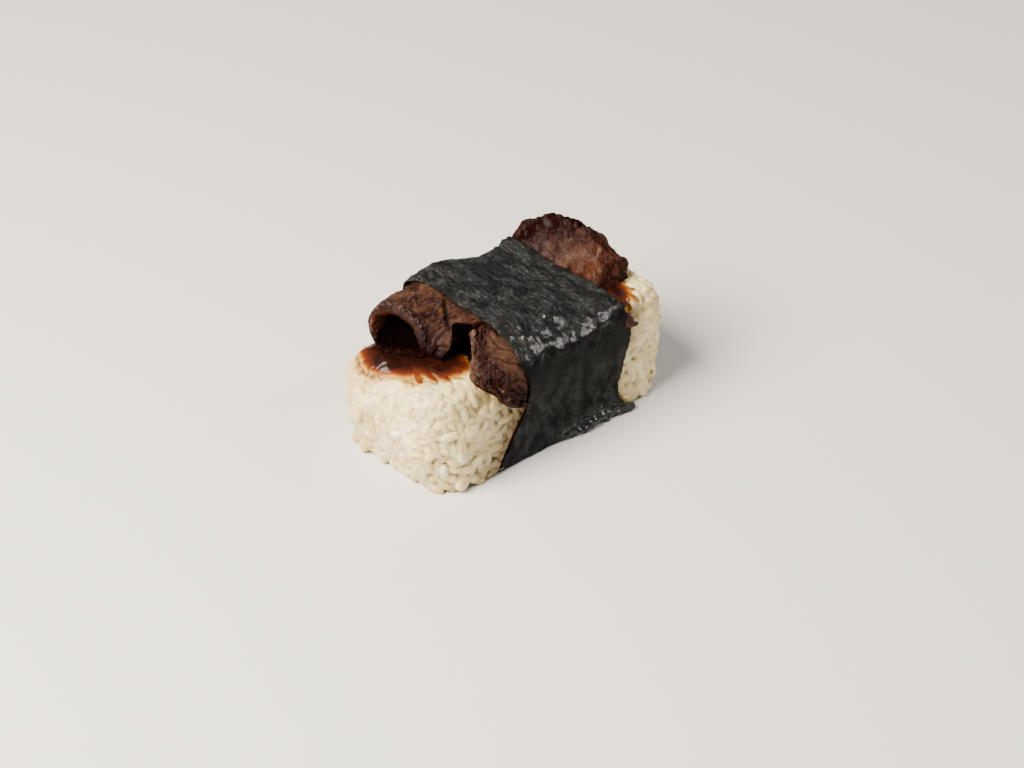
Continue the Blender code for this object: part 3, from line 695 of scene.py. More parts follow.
def glazed_beef():
    """Thin sliced, glazed grilled beef: brown fibre bundles, with painted shade darker and redder in
    creases.
    """
    tree, shader = new_material("grilled_glazed_beef", {
        "IOR": 1.45,
        "Subsurface Weight": 0.12,
        "Subsurface Radius": (1.0, 0.3, 0.15),
        "Subsurface Scale": 0.8 * MM,
        # The glaze gives all the shine, so that places painted black as deep shade, without glaze, stay
        # black
        "Specular IOR Level": 0.0,
        "Coat Roughness": 0.2,
    })
    along = add(tree, "ShaderNodeAttribute", {"attribute_name": "along"}).outputs["Vector"]
    crease, tan, sauced, deep, wet = (
        add(tree, "ShaderNodeAttribute", {"attribute_name": title}).outputs["Fac"]
        for title in ("crease", "tan", "sauced", "deep", "wet")
    )
    # Bundles 2 to 3 mm thick. A fibre in them is about 0.1 mm, and is drawn 0.5 mm thick so that it shows
    bundle_way = add(tree, "ShaderNodeMapping", {}, {"Scale": (1 / 3.2, 1 / 2.0, 1 / 2.4)},
        {"Vector": along})
    bundles = add(tree, "ShaderNodeTexNoise", {}, {"Scale": 1.0, "Detail": 6.0, "Roughness": 0.7},
        {"Vector": bundle_way.outputs[0]})
    fibre_way = add(tree, "ShaderNodeMapping", {}, {"Scale": (1 / 1.8, 1 / 0.5, 1 / 0.6)}, {"Vector": along})
    fibres = add(tree, "ShaderNodeTexNoise", {}, {"Scale": 1.0, "Detail": 4.0, "Roughness": 0.65},
        {"Vector": fibre_way.outputs[0]})
    # Browning from the grill comes in blotches of 5 to 6 mm
    blotch_way = add(tree, "ShaderNodeMapping", {},
        {"Scale": (1 / 6.0, 1 / 5.0, 1 / 5.0), "Location": (7.0, 3.0, 0.0)}, {"Vector": along})
    blotches = add(tree, "ShaderNodeTexNoise", {}, {"Scale": 1.0, "Detail": 4.0},
        {"Vector": blotch_way.outputs[0]})
    meat = add(tree, "ShaderNodeValToRGB", {}, {}, {"Fac": bundles.outputs["Fac"]},
        ((0.34, "#1D100E"), (0.46, "#32201C"), (0.58, "#48332D"), (0.72, "#684C42")))
    warm = add(tree, "ShaderNodeValToRGB", {}, {}, {"Fac": blotches.outputs["Fac"]},
        ((0.5, 0.0), (0.68, 0.75)))
    mottled = add(tree, "ShaderNodeMix", {"data_type": "RGBA"}, {7: colour("#583926")},
        {0: warm.outputs["Color"], 6: meat.outputs["Color"]})
    # Paler meat: real tan patches and strips, and painted light on raised parts and the curl's inner wall
    pale = add(tree, "ShaderNodeMix", {"data_type": "RGBA"}, {7: colour("#6C4E3E")},
        {0: tan, 6: mottled.outputs[2]})
    # Painted shade in creases, slits, grooves and on the lobe, with meat that is really darker on rims and
    # rolls
    dark = add(tree, "ShaderNodeMix", {"data_type": "RGBA"}, {7: colour("#1E0A0A")},
        {0: crease, 6: pale.outputs[2]})
    soaked = add(tree, "ShaderNodeMix", {"data_type": "RGBA"}, {7: colour("#4A200E")},
        {0: sauced, 6: dark.outputs[2]})
    # Painted shade: nearly black inside the curl, in its pocket and lip, the round slice's cut and hole
    inside = add(tree, "ShaderNodeMix", {"data_type": "RGBA"}, {7: colour("#0A0403")},
        {0: deep, 6: soaked.outputs[2]})
    grain = add(tree, "ShaderNodeValToRGB", {}, {}, {"Fac": fibres.outputs["Fac"]},
        ((0.35, 0.6), (0.62, 1.0)))
    grained = add(tree, "ShaderNodeMix", {"data_type": "RGBA", "blend_type": "MULTIPLY"}, {0: 1.0},
        {6: inside.outputs[2], 7: grain.outputs["Color"]})
    tree.links.new(grained.outputs[2], shader.inputs["Base Color"])
    # Glaze lies on the tops of the bundles, thicker where sauced or wet, and none where painted dark as
    # shade
    gloss = add(tree, "ShaderNodeMapRange", {},
        {"From Min": 0.46, "From Max": 0.64, "To Min": 0.05, "To Max": 0.2},
        {"Value": bundles.outputs["Fac"]})
    film = add(tree, "ShaderNodeMath", {"operation": "MULTIPLY_ADD"}, {1: 0.3},
        {0: sauced, 2: gloss.outputs[0]})
    moist = add(tree, "ShaderNodeMath", {"operation": "ADD"}, {}, {0: film.outputs[0], 1: wet})
    glaze = add(tree, "ShaderNodeMath", {"operation": "SUBTRACT", "use_clamp": True}, {},
        {0: moist.outputs[0], 1: deep})
    tree.links.new(glaze.outputs[0], shader.inputs["Coat Weight"])
    both = add(tree, "ShaderNodeMath", {"operation": "ADD"}, {},
        {0: fibres.outputs["Fac"], 1: bundles.outputs["Fac"]})
    relief = add(tree, "ShaderNodeBump", {}, {"Strength": 1.0, "Distance": 0.55 * MM},
        {"Height": both.outputs[0]})
    tree.links.new(relief.outputs[0], shader.inputs["Normal"])
    skin = add(tree, "ShaderNodeBump", {}, {"Strength": 0.8, "Distance": 0.5 * MM},
        {"Height": bundles.outputs["Fac"]})
    tree.links.new(skin.outputs[0], shader.inputs["Coat Normal"])


def soy_glaze():
    """Thick soy and sugar sauce: a deep red-brown syrup with a soft gloss, amber where it runs thin."""
    tree, shader = new_material("soy_and_sugar_sauce", {
        "IOR": 1.42,
        # The gloss is a coat that fades at the thin amber rim, where the rice soaks the sauce up
        "Specular IOR Level": 0.0,
        "Roughness": 0.4,
        "Coat IOR": 1.42,
        "Coat Roughness": 0.25,
    })
    thick = add(tree, "ShaderNodeAttribute", {"attribute_name": "thick"}).outputs["Fac"]
    place = add(tree, "ShaderNodeTexCoord").outputs["Object"]
    body = add(tree, "ShaderNodeValToRGB", {}, {}, {"Fac": thick},
        ((0.0, "#B08640"), (0.22, "#8C5422"), (0.45, "#5C2A11"), (0.7, "#431B0E"), (1.0, "#1F0905")))
    tree.links.new(body.outputs["Color"], shader.inputs["Base Color"])
    gloss = add(tree, "ShaderNodeMapRange", {}, {"From Min": 0.3, "From Max": 0.7, "To Max": 0.6},
        {"Value": thick})
    tree.links.new(gloss.outputs[0], shader.inputs["Coat Weight"])
    # Slow ripples of about a grain's width, from the grains under the sauce
    ripple = add(tree, "ShaderNodeTexNoise", {}, {"Scale": 1 / (3.0 * MM), "Detail": 2.0}, {"Vector": place})
    relief = add(tree, "ShaderNodeBump", {}, {"Strength": 0.7, "Distance": 0.8 * MM},
        {"Height": ripple.outputs["Fac"]})
    tree.links.new(relief.outputs[0], shader.inputs["Normal"])
    tree.links.new(relief.outputs[0], shader.inputs["Coat Normal"])


# Camera, floor and light


def set_camera():
    turn, rise = math.radians(CAMERA_TURN), math.radians(CAMERA_RISE)
    level = Vector((math.sin(turn), math.cos(turn), 0.0))
    aside = Vector((math.cos(turn), -math.sin(turn), 0.0))
    forward = level * math.cos(rise) - Vector((0, 0, math.sin(rise)))
    above = level * math.sin(rise) + Vector((0, 0, math.cos(rise)))
    camera = bpy.data.objects.new("camera", bpy.data.cameras.new("camera"))
    camera.data.lens = CAMERA_LENS
    camera.data.clip_end = 10.0
    camera.location = (aside * CAMERA_ASIDE + above * CAMERA_ABOVE - forward * CAMERA_DISTANCE) * MM
    camera.rotation_euler = (math.radians(90 - CAMERA_RISE), 0.0, -turn)
    bpy.context.scene.collection.objects.link(camera)
    bpy.context.scene.camera = camera


def set_floor():
    """A pale matt table that fades into the backdrop."""
    mesh = bpy.data.meshes.new("floor")
    corners = ((-1, -1), (1, -1), (1, 1), (-1, 1))
    places = [(x * FLOOR_REACH, y * FLOOR_REACH, -FLOOR_DROP) for x, y in corners]
    mesh.from_pydata(places, [], [(0, 1, 2, 3)])
    new_material("white_matt_board", {"Base Color": colour("#DFDFDE"), "Roughness": 0.7})
    mesh.materials.append(bpy.data.materials["white_matt_board"])
    floor = bpy.data.objects.new("floor", mesh)
    bpy.context.scene.collection.objects.link(floor)


def set_light(name, way, distance, size, power, tint):
    """A square softbox that looks at the musubi from this way, in metres and watts."""
    data = bpy.data.lights.new(name, "AREA")
    data.shape = "SQUARE"
    data.size = size
    data.energy = power
    data.color = colour(tint)[:3]
    box = bpy.data.objects.new(name, data)
    aim = Vector(way).normalized()
    box.location = aim * distance + Vector((0, 0, LIGHT_AIM))
    box.rotation_euler = aim.to_track_quat("Z", "Y").to_euler()
    bpy.context.scene.collection.objects.link(box)


def set_world():
    world = bpy.data.worlds.new("white_room")
    world.use_nodes = True
    sky = world.node_tree.nodes["Background"]
    sky.inputs["Color"].default_value = colour("#FCFCFF")
    sky.inputs["Strength"].default_value = WORLD_STRENGTH
    bpy.context.scene.world = world


# Nori


def nori_face(share, v, loose=True):
    """The nori's outer face: share runs round the ring, and v from the front edge back."""
    front, back = (curve([row[edge] for row in NORI_RING], share, closed=True) for edge in (0, 1))
    swell = curve([(row[2],) for row in NORI_RING], share, closed=True)[..., 0]
    place = mix(front, back, np.asarray(v)[..., None])
    across, up, length = place[..., 0], place[..., 1], place[..., 2]
    up = up + np.maximum(swell, 0.0) * np.sin(2 * math.pi * np.clip(v, 0, 1))
    if loose:
        across = across - HEM_REACH * bump(share, HEM_AT, HEM_SPREAD) * smooth(*HEM_START, v)
    return np.stack([length, across, np.maximum(up, 0.0)], -1)


def nori_normals(share, v, loose=True):
    """The unit normals of the nori's outer face, without their part along the block."""
    normal = -normals_of(lambda a, b: nori_face(a, b, loose), share, v)
    normal[..., 0] = 0.0
    return unit(normal)


class Squeeze:
    """Keeps the rice and the beef under the nori, with a soft shoulder where they come out from it."""

    def __init__(self):
        columns, rows = SQUEEZE_GRID
        past = np.linspace(-SQUEEZE_REACH, 1 + SQUEEZE_REACH, rows + 1)
        share, v = np.meshgrid(np.arange(columns) / columns, past)
        normals = nori_normals(share, v, False)
        inner = nori_face(share, v, False) - normals * (NORI_THICKNESS + SQUEEZE_GAP)
        self.columns = columns
        self.front, self.back = (
            nori_face(share[0], np.full(columns, edge), False)[:, 0] for edge in (0.0, 1.0)
        )
        self.tree = BVHTree.FromPolygons(inner.reshape(-1, 3).tolist(), grid_quads(rows + 1, columns))
        self.normals = normals[:-1].reshape(-1, 3)

    def moves(self, points, shoulder, softness):
        """How far each point has to move in so that it stays under the nori."""
        flat = np.asarray(points).reshape(-1, 3)
        moved = np.zeros_like(flat)
        for i, point in enumerate(flat.tolist()):
            place, _, index, _ = self.tree.find_nearest(point)
            normal = self.normals[index]
            column = index % self.columns
            outside = float(np.dot(np.subtract(point, place), normal))
            ahead = max(self.front[column] - point[0], point[0] - self.back[column])
            allowed = shoulder * (1 - math.exp(-max(ahead, 0.0) / softness)) + max(ahead - softness, 0.0)
            if outside > allowed:
                moved[i] = normal * (allowed - outside)
        return moved.reshape(np.shape(points))


def glare_facets(outer, face, plan):
    """The crumpled nori with flatter parts that face the glare, and how far each place belongs to one."""
    way = unit(np.array(GLARE_WAY))
    frayed = np.maximum(1 + 1.1 * rough(plan, (3.0, 1.6), 3, 12.0), 0.3)
    torn = np.maximum(1 + 0.7 * rough(plan, (4.0, 3.0), 1, 12.0), 0.5)
    shine = np.zeros(face.shape[:-1])
    for x, y, z, size in GLARE_FACETS:
        far = np.linalg.norm(face - np.array((x, y, z)), axis=-1)
        share = np.exp(-((far * torn / (GLARE_SPREAD * size)) ** 4))
        middle = outer[np.unravel_index(np.argmin(far), far.shape)] + way * GLARE_PROUD
        outer = outer - way * (((outer - middle) @ way) * share * GLARE_FLATNESS)[..., None]
        shine = np.maximum(shine, np.exp(-((far * frayed / (GLARE_SPREAD * size)) ** 4)))
    return outer, shine


def nori_columns():
    """Shares of the ring at the nori's columns, fewer of them underneath, and each one's way round it."""
    columns = NORI_GRID[0]
    fine = np.linspace(0, 1, RING_STEPS)
    plain = nori_face(fine, np.full(RING_STEPS, 0.5), False)
    step = np.linalg.norm(np.diff(plain, axis=0), axis=1)
    weight = step * np.where(plain[1:, 2] < 0.5, FOOT_WEIGHT, 1.0)
    filled = np.concatenate([[0], np.cumsum(weight)]) / weight.sum()
    shares = np.interp(np.arange(columns) / columns, filled, fine)
    return shares, np.interp(shares, fine, np.concatenate([[0], np.cumsum(step)]))


def make_nori():
    """One crumpled sheet round the block, with damp glossy facets on its shoulder and a loose wet hem."""
    shares, ring = nori_columns()
    share, v = np.meshgrid(shares, np.linspace(0, 1, NORI_GRID[1] + 1))
    face, normal = nori_face(share, v), nori_normals(share, v)
    x, y, z = np.moveaxis(face, -1, 0)
    along = np.stack([np.broadcast_to(ring, share.shape), x, np.zeros_like(share)], -1)
    plan = along[..., :2]
    on_top = smooth(30.0, 41.0, z)
    shoulder = smooth(-12.0, -18.0, y) * smooth(28.0, 34.0, z)
    # Long wrinkles run round the band, deepest on its top and shallow at its front edge
    sway = np.stack([rough(plan, (9.0, 9.0), 2, 1.0), rough(plan, (8.0, 8.0), 2, 7.0)], -1) * (1.5, 1.8)
    patchy = mix(0.35, 1.0, smooth(-0.3, 0.3, rough(plan, (8.0, 6.0), 2, 6.0)))
    wrinkles = rough(plan + sway, (7.0, 2.0), 3, 2.0) * mix(0.12, 0.58, on_top) * patchy
    creases = (lumps(plan + sway, (6.0, 1.8), 2, 5.0) - 0.3) * mix(0.02, 0.28, on_top) * patchy
    wrinkles = (wrinkles + creases) * (1 - 0.7 * bump(v, 0.0, 0.09))
    # Shallow dents all over, and crumples on the loose hem
    dents = rough(plan, (8.0, 7.0), 2, 9.0) * 0.4 + 0.15
    hem = bump(share, HEM_AT, HEM_SPREAD * 1.3) * smooth(*HEM_START, v)
    crumples = (lumps(plan, (1.5, 2.6), 2, 5.0) - 0.4) * 1.7 * hem
    # Damp facets are smoother than the dry sheet, with fine crinkles
    outer, shine = glare_facets(face + normal * (dents + crumples)[..., None], face, plan)
    shine = shine * np.maximum(smooth(0.2, 0.5, normal[..., 2]), smooth(15.0, 12.0, z))
    crinkles = rough(plan + sway * 0.4, (2.2, 1.1), 2, 4.0) * 0.15 * np.maximum(shine, shoulder * 0.3)
    outer = outer + normal * (wrinkles * (1 - 0.7 * shine) + crinkles)[..., None]
    # Both edges wander a little, and the sheet stays above the table
    line = np.stack([ring, np.zeros(len(ring))], -1)
    front, back = rough(line, (2.2, 1.0), 4, 3.0), rough(line, (2.0, 1.0), 4, 8.0)
    outer[..., 0] += (1 - v) ** 6 * front * EDGE_WANDER + v**6 * back * EDGE_WANDER
    outer[..., 2] = np.maximum(outer[..., 2], 0.02)
    inner = outer - normal * NORI_THICKNESS
    inner[..., 2] = np.where(z < 0.6, np.maximum(inner[..., 2], 0.3), inner[..., 2])
    # It is wet on the facets, on the hem and in specks on top. low is painted shade in its wrinkles and in a
    # band under its shoulder, with the wet hem darker too; its sides get painted side shade
    speckled = smooth(0.15, 0.5, rough(plan, (2.4, 1.6), 3, 13.0)) * on_top * smooth(-20.0, 12.0, x)
    wet = np.clip(shine * 0.85 + hem * 1.2 + 0.03 + 0.3 * speckled, 0, 1) * smooth(0.0, 0.05, v)
    below = smooth(0.8, 0.5, normal[..., 2]) * smooth(22.0, 29.0, z) * smooth(0.0, -10.0, y)
    band = np.maximum(bump(z, 31.0, 7.5) * smooth(-20.0, -24.0, y), below)
    low = np.clip(smooth(-0.05, -0.45, wrinkles) * 0.6 + band * 0.85 + hem * 0.8, 0, 1)
    facts = both_sides({"along": along, "wet": wet, "low": low, "painted_side_shade": smooth(32.0, 26.0, z)})
    lay_shell("nori_sheet", "nori_band", outer, inner, facts, wraps=True)


# Beef


def rim_shares(length, count):
    """Shares from 0 to 1 of a length, close together round both rims, and how full the slice is at each."""
    angles = np.linspace(0, math.pi / 2, RIM_STEPS)
    inset = SLICE / 2 * (1 - np.cos(angles)) / length
    even = np.linspace(inset[-1], 1 - inset[-1], count)[1:-1]
    shares = np.concatenate([inset, even, 1 - inset[::-1]])
    full = np.concatenate([np.sin(angles), np.ones(len(even)), np.sin(angles)[::-1]])
    return shares, full


def slice_piece(name, node, face, size, counts, relief, facts_of, squeeze):
    """A slice of beef under its outer face. relief(u, v, along) gives how far it lifts and how thick it is,
    and facts_of gives its finish on the outer and the inner side."""
    width, length = size
    u_shares, u_full = rim_shares(width, counts[0])
    v_shares, v_full = rim_shares(length, counts[1])
    u, v = np.meshgrid(u_shares, v_shares)
    full = u_full[None, :] * v_full[:, None]
    places, normal = face(u, v), normals_of(face, u, v)
    along = np.stack([v * length, u * width, np.zeros_like(u)], -1)
    lift, thickness = relief(u, v, along)
    outer = places + normal * (lift * full - thickness / 2 * (1 - full))[..., None]
    inner = places - normal * (thickness / 2 * (1 + full) + lift * 0.5 * full)[..., None]
    moved = squeeze.moves(outer, *BEEF_SHOULDER)
    facts = {"along": (along, along + INNER_SHIFT)}
    for title, sides in facts_of(u, v, along, lift).items():
        facts[title] = [np.clip(side, 0, 1) for side in sides]
    lay_shell(name, node, outer + moved, inner + moved, facts)


def make_scrap(name, node, finish, middle, half, turn):
    """A small torn lump, such as a tip of beef or a stub of nori."""
    rows, columns = SCRAP_GRID
    round_it = np.linspace(0, 2 * math.pi, columns, endpoint=False)
    angle, ring = np.meshgrid(round_it, np.linspace(0.02, 0.98, rows) * math.pi)
    ball = np.stack([np.sin(ring) * np.cos(angle), np.sin(ring) * np.sin(angle), np.cos(ring)], -1)
    torn = 1 + 0.3 * rough(ball * half, (1.6, 1.6, 1.6), 3, 3.0)
    ball = np.sign(ball) * np.abs(ball) ** 0.8 * torn[..., None]
    spin = np.array(Euler([math.radians(part) for part in turn]).to_matrix())
    points = ((ball * half) @ spin.T + middle).reshape(-1, 3)
    points[:, 2] = np.maximum(points[:, 2], 0.05)
    faces = grid_quads(rows, columns)
    faces += [list(range(columns))[::-1], list(range((rows - 1) * columns, rows * columns))]
    facts = {title: np.full(len(points), value) for title, value in SCRAP_FACTS[node].items()}
    lay(name, node, points, faces, {**facts, "along": points}, finish)


def curl_face(u, v):
    """The curl's outer face, from its open edge to its far edge. The lobe is steep near the edge."""
    edge, far = curve(CURL_EDGE, u), curve(CURL_FAR, u)
    place = mix(edge, far, np.asarray(v)[..., None])
    inside = np.clip(v, 0.0, 1.0)
    steep = 1 + LOBE_STEEPNESS * smooth(*LOBE_FROM, u)
    place[..., 2] = mix(edge[..., 2], far[..., 2], 1 - (1 - inside) ** steep)
    place[..., 2] += CURL_CROWN * np.sin(math.pi * inside) * smooth(*CURL_CROWN_FROM, u)
    at = np.interp(inside, CURL_BORDER_SHARES, np.linspace(0, 1, len(CURL_BORDER)))
    weight = smooth(*CURL_BORDER_FROM, u)[..., None]
    return mix(place, curve(CURL_BORDER, at), weight)


def make_curl(squeeze):
    """The open curl: a beaded rim, a crease across its top, and a lobe that hangs to the sauce."""

    def relief(u, v, along):
        plan = along[..., :2]
        place = curl_face(u, v)
        folds = rough(plan, (9.0, 8.0), 2, 1.0) * 0.7
        bundles = rough(plan, (3.6, 3.0), 3, 4.0) * 0.45
        crumb = rough(plan, (1.1, 1.0), 2, 3.0) * 0.16
        beads = (lumps(plan, (2.0, 1.8), 3, 6.0) - 0.25) * 1.45 * bump(v, 0.03, 0.08) * smooth(0.34, 0.44, u)
        lip = (lumps(plan, (1.6, 1.5), 3, 9.0) - 0.4) * 2.0 * smooth(0.32, 0.2, u) * bump(v, 0.0, 0.12)
        valley = -0.9 * mark(place[..., 0], place[..., 1], *CURL_CREASE) * smooth(0.5, 0.6, u)
        rolled = bump(v, 0.03, 0.10) * smooth(0.38, 0.5, u) * smooth(0.92, 0.8, u)
        thickness = SLICE * (1 + 0.7 * rolled - 0.35 * smooth(0.3, 0.1, u))
        return folds + bundles + crumb + (beads + lip) + valley, thickness

    def facts_of(u, v, along, lift):
        # Painted shade: black in the cavity and pocket, dark on the lip, lobe and hollows. Painted light:
        # ridges, inner wall
        low = smooth(-0.1, -0.7, lift)
        rim = bump(v, 0.02, 0.08)
        lower = smooth(0.34, 0.22, u)
        lip = smooth(0.2, 0.1, u)
        ridge = smooth(0.9, 0.97, u) * smooth(0.22, 0.32, v)
        lobe = smooth(0.6, 0.9, u) * smooth(0.4, 0.0, v)
        wall = smooth(0.18, 0.28, u) * smooth(0.56, 0.46, u)
        border = smooth(0.975, 0.995, u) * smooth(0.03, 0.08, v) * smooth(0.5, 0.4, v)
        reach = mix(mix(0.04, 0.4, wall), 0.12, lip)
        inside = np.clip(smooth(0.0, 1.0, (v - 0.09 * wall - 0.05 * lip) / reach) + border, 0, 1)
        return {
            "crease": (low * 0.7 + rim * 0.55 + lobe * 0.55 + lower * 0.8, rim * 0.4 + lower * 0.9),
            "tan": (smooth(-0.1, 0.8, lift) * 0.5 * (1 - rim) * (1 - 0.6 * lobe), wall * 0.5),
            "sauced": (ridge * 0.7, 0.2 + 0.8 * wall),
            "deep": (border * (1 - ridge) + 0.6 * lower, inside + 0.75 * lower),
            "wet": (rim * 0.2 + lower * 0.6, lower * 0.6),
        }

    slice_piece("beef_curl", "beef_slice_curl", curl_face, CURL_SIZE, CURL_GRID, relief, facts_of, squeeze)


def flap_face(u, v):
    """The flap's outer face, from its open edge, under the nori, to its torn far end."""
    edge, middle, far = curve(FLAP_EDGE, u), curve(FLAP_MIDDLE, u), curve(FLAP_FAR, u)
    share = np.asarray(v) / FLAP_TURN
    lift = FLAP_CROWN * np.sin(math.pi * np.clip(share, 0, 1))
    lift = lift * smooth(*FLAP_CROWN_FROM, u) * (1 - smooth(*FLAP_CROWN_TO, u))
    near = mix(edge, middle, share[..., None]) + np.array(FLAP_CROWN_WAY) * lift[..., None]
    for place, spread, length, lean_out in FLAP_TIPS:
        far[..., 0] += length * bump(u, place, spread)
        far[..., 1] -= lean_out * bump(u, place, spread) * smooth(*FLAP_TIP_LEANS, v)
    beyond = mix(middle, far, ((np.asarray(v) - FLAP_TURN) / (1 - FLAP_TURN))[..., None])
    return np.where(share[..., None] < 1, near, beyond)


def make_flap(squeeze):
    """The flap: rounded plates of meat with slits between them, and a beaded roll along its upper edge."""

    def grain(along):
        """Places along the slice's fibres, which run down its slope and a little towards the nori."""
        ease, aside = math.cos(FIBRE_TURN), math.sin(FIBRE_TURN)
        down, away = along[..., 1], along[..., 0]
        return np.stack([down * ease + away * aside, away * ease - down * aside], -1)

    def plates(u, v, plan):
        """Rounded plates of meat, 0 in the slits between them, which run down the slope."""
        sway = 1.3 * rough(plan, (7.0, 6.0), 2, 2.0)
        across = PLATE_WAY[0] * u * FLAP_SIZE[0] + PLATE_WAY[1] * v * FLAP_SIZE[1] + sway
        edge = np.abs(np.sin(math.pi * (across - PLATE_START) / PLATE_WIDTH)) ** 0.6
        return mix(1.0, edge, smooth(-0.35, 0.25, rough(plan, (8.0, 5.0), 2, 11.0)))

    def roll(u, v):
        return smooth(0.14, 0.04, v) * smooth(0.5, 0.4, u)

    def relief(u, v, along):
        plan = grain(along)
        seen = 1 - smooth(0.42, 0.55, v)
        strip = smooth(0.16, 0.24, v) * smooth(0.1, 0.2, u)
        bundles = rough(plan, (6.0, 3.0), 2, 1.0) * 0.5
        knots = (lumps(plan, (2.6, 2.0), 3, 5.0) - 0.4) * mix(1.3, 0.1, strip) * smooth(0.0, 0.12, u)
        crumb = rough(plan, (1.4, 0.7), 2, 3.0) * mix(0.2, 0.06, strip)
        waves = rough(plan, (12.0, 9.0), 2, 3.0) * 0.4
        plated = (plates(u, v, plan) - 0.7) * mix(0.9, 0.7, strip) * (1 - roll(u, v))
        beads = (lumps(along[..., :2], (2.0, 2.6), 2, 8.0) - 0.2) * 0.8 * roll(u, v)
        return (bundles + knots + crumb + plated + beads) * seen + waves, SLICE

    def facts_of(u, v, along, lift):
        # Painted shade in the slits, hollows, along the hem and on the hidden inner side; painted light on
        # the roll
        slit = smooth(0.55, 0.1, plates(u, v, grain(along)))
        low = smooth(0.1, -0.8, lift)
        strip = smooth(0.17, 0.24, v) * smooth(0.1, 0.2, u)
        hem = smooth(0.18, 0.02, v) * smooth(0.35, 0.5, u)
        rolled = roll(u, v)
        zero = np.zeros(u.shape)
        dark = 0.22 + slit * 0.7 + low * 0.5 + hem * 0.4 + (1 - strip) * 0.35 - rolled * 0.5
        return {
            "crease": (dark, zero),
            "tan": (strip * 0.42 + rolled * 0.4, zero),
            "sauced": (hem * 0.15 + slit * 0.3, zero + 0.8),
            "deep": (zero, zero + 0.8),
            "wet": (hem * 0.15 + rolled * 0.35, zero),
        }

    slice_piece("beef_flap", "beef_slice_flap", flap_face, FLAP_SIZE, FLAP_GRID, relief, facts_of, squeeze)


def block_size(x, sink=0.0):
    """Half the width, the top and the foot of the block at x, rounded off towards both ends."""
    low, high = BLOCK_ENDS[0] + sink, BLOCK_ENDS[1] - sink
    share = (x - low) / (high - low)
    near = np.minimum(x - low, high - x)
    corner = mix(*TOP_CORNER, share)

    def rounded(radius):
        inside = np.maximum(radius - near, 0.0)
        return radius - np.sqrt(np.maximum(radius**2 - inside**2, 0.0))

    half = BLOCK_HALF_WIDTH - sink + SWELL * np.sin(math.pi * share) - rounded(END_CORNER)
    top = mix(*BLOCK_TOP, smooth(*BLOCK_TOP_RISE, share)) - sink - rounded(corner)
    return half, top, rounded(FOOT_CORNER), corner


def block_top_at(x, y):
    """How high the bare block is at a place on its top."""
    half, top, _, corner = block_size(x)
    inside = np.maximum(np.abs(y) - (half - corner), 0.0)
    return top - corner + np.sqrt(np.maximum(corner**2 - inside**2, 0.0))


def disc_grid(count_x, count_y):
    """A square grid on a disc: each point's angle, and its share of the way out to the rim."""
    a, b = np.meshgrid(np.linspace(-1, 1, count_x), np.linspace(-1, 1, count_y))
    return np.arctan2(b, a), np.maximum(np.abs(a), np.abs(b))


def round_outline(angle):
    """How far the rounded slice reaches at each angle, as a share of its half sizes."""
    waves, phase, swing = ROUND_WAVES
    tip_at, tip_spread, tip_reach = ROUND_TIP
    power = ROUND_SQUARENESS
    radius = (np.abs(np.cos(angle)) ** power + np.abs(np.sin(angle)) ** power) ** (-1 / power)
    wavy = swing * np.sin(waves * (angle % (2 * math.pi)) + phase)
    return radius * (1 + wavy + tip_reach * bump(angle, tip_at, tip_spread))


def round_height(plan):
    """How high the rounded slice rises over its foot at places in plan."""
    x, y = plan[..., 0], plan[..., 1]
    under, at_edge, highest = ROUND_HEIGHTS
    left = smooth(*ROUND_LEFT, y)
    start = ROUND_RISE[0] - ROUND_SOONER[0] * left
    length = ROUND_RISE[1] - ROUND_RISE[0] - (ROUND_SOONER[1] - ROUND_SOONER[0]) * left
    risen = smooth(0.0, 1.0, (x - start) / length)
    height = mix(mix(under, at_edge, smooth(*ROUND_FALL, x)), highest, risen)
    height = height - ROUND_LOWER * (1 - smooth(*ROUND_RIGHT, y)) * risen
    size, swell = ROUND_BUMPS
    flat = plan.reshape(-1, 2).tolist()
    swells = np.array([noise.noise(Vector((a / size, b / size, 4.0))) for a, b in flat])
    return height + swells.reshape(x.shape) * swell


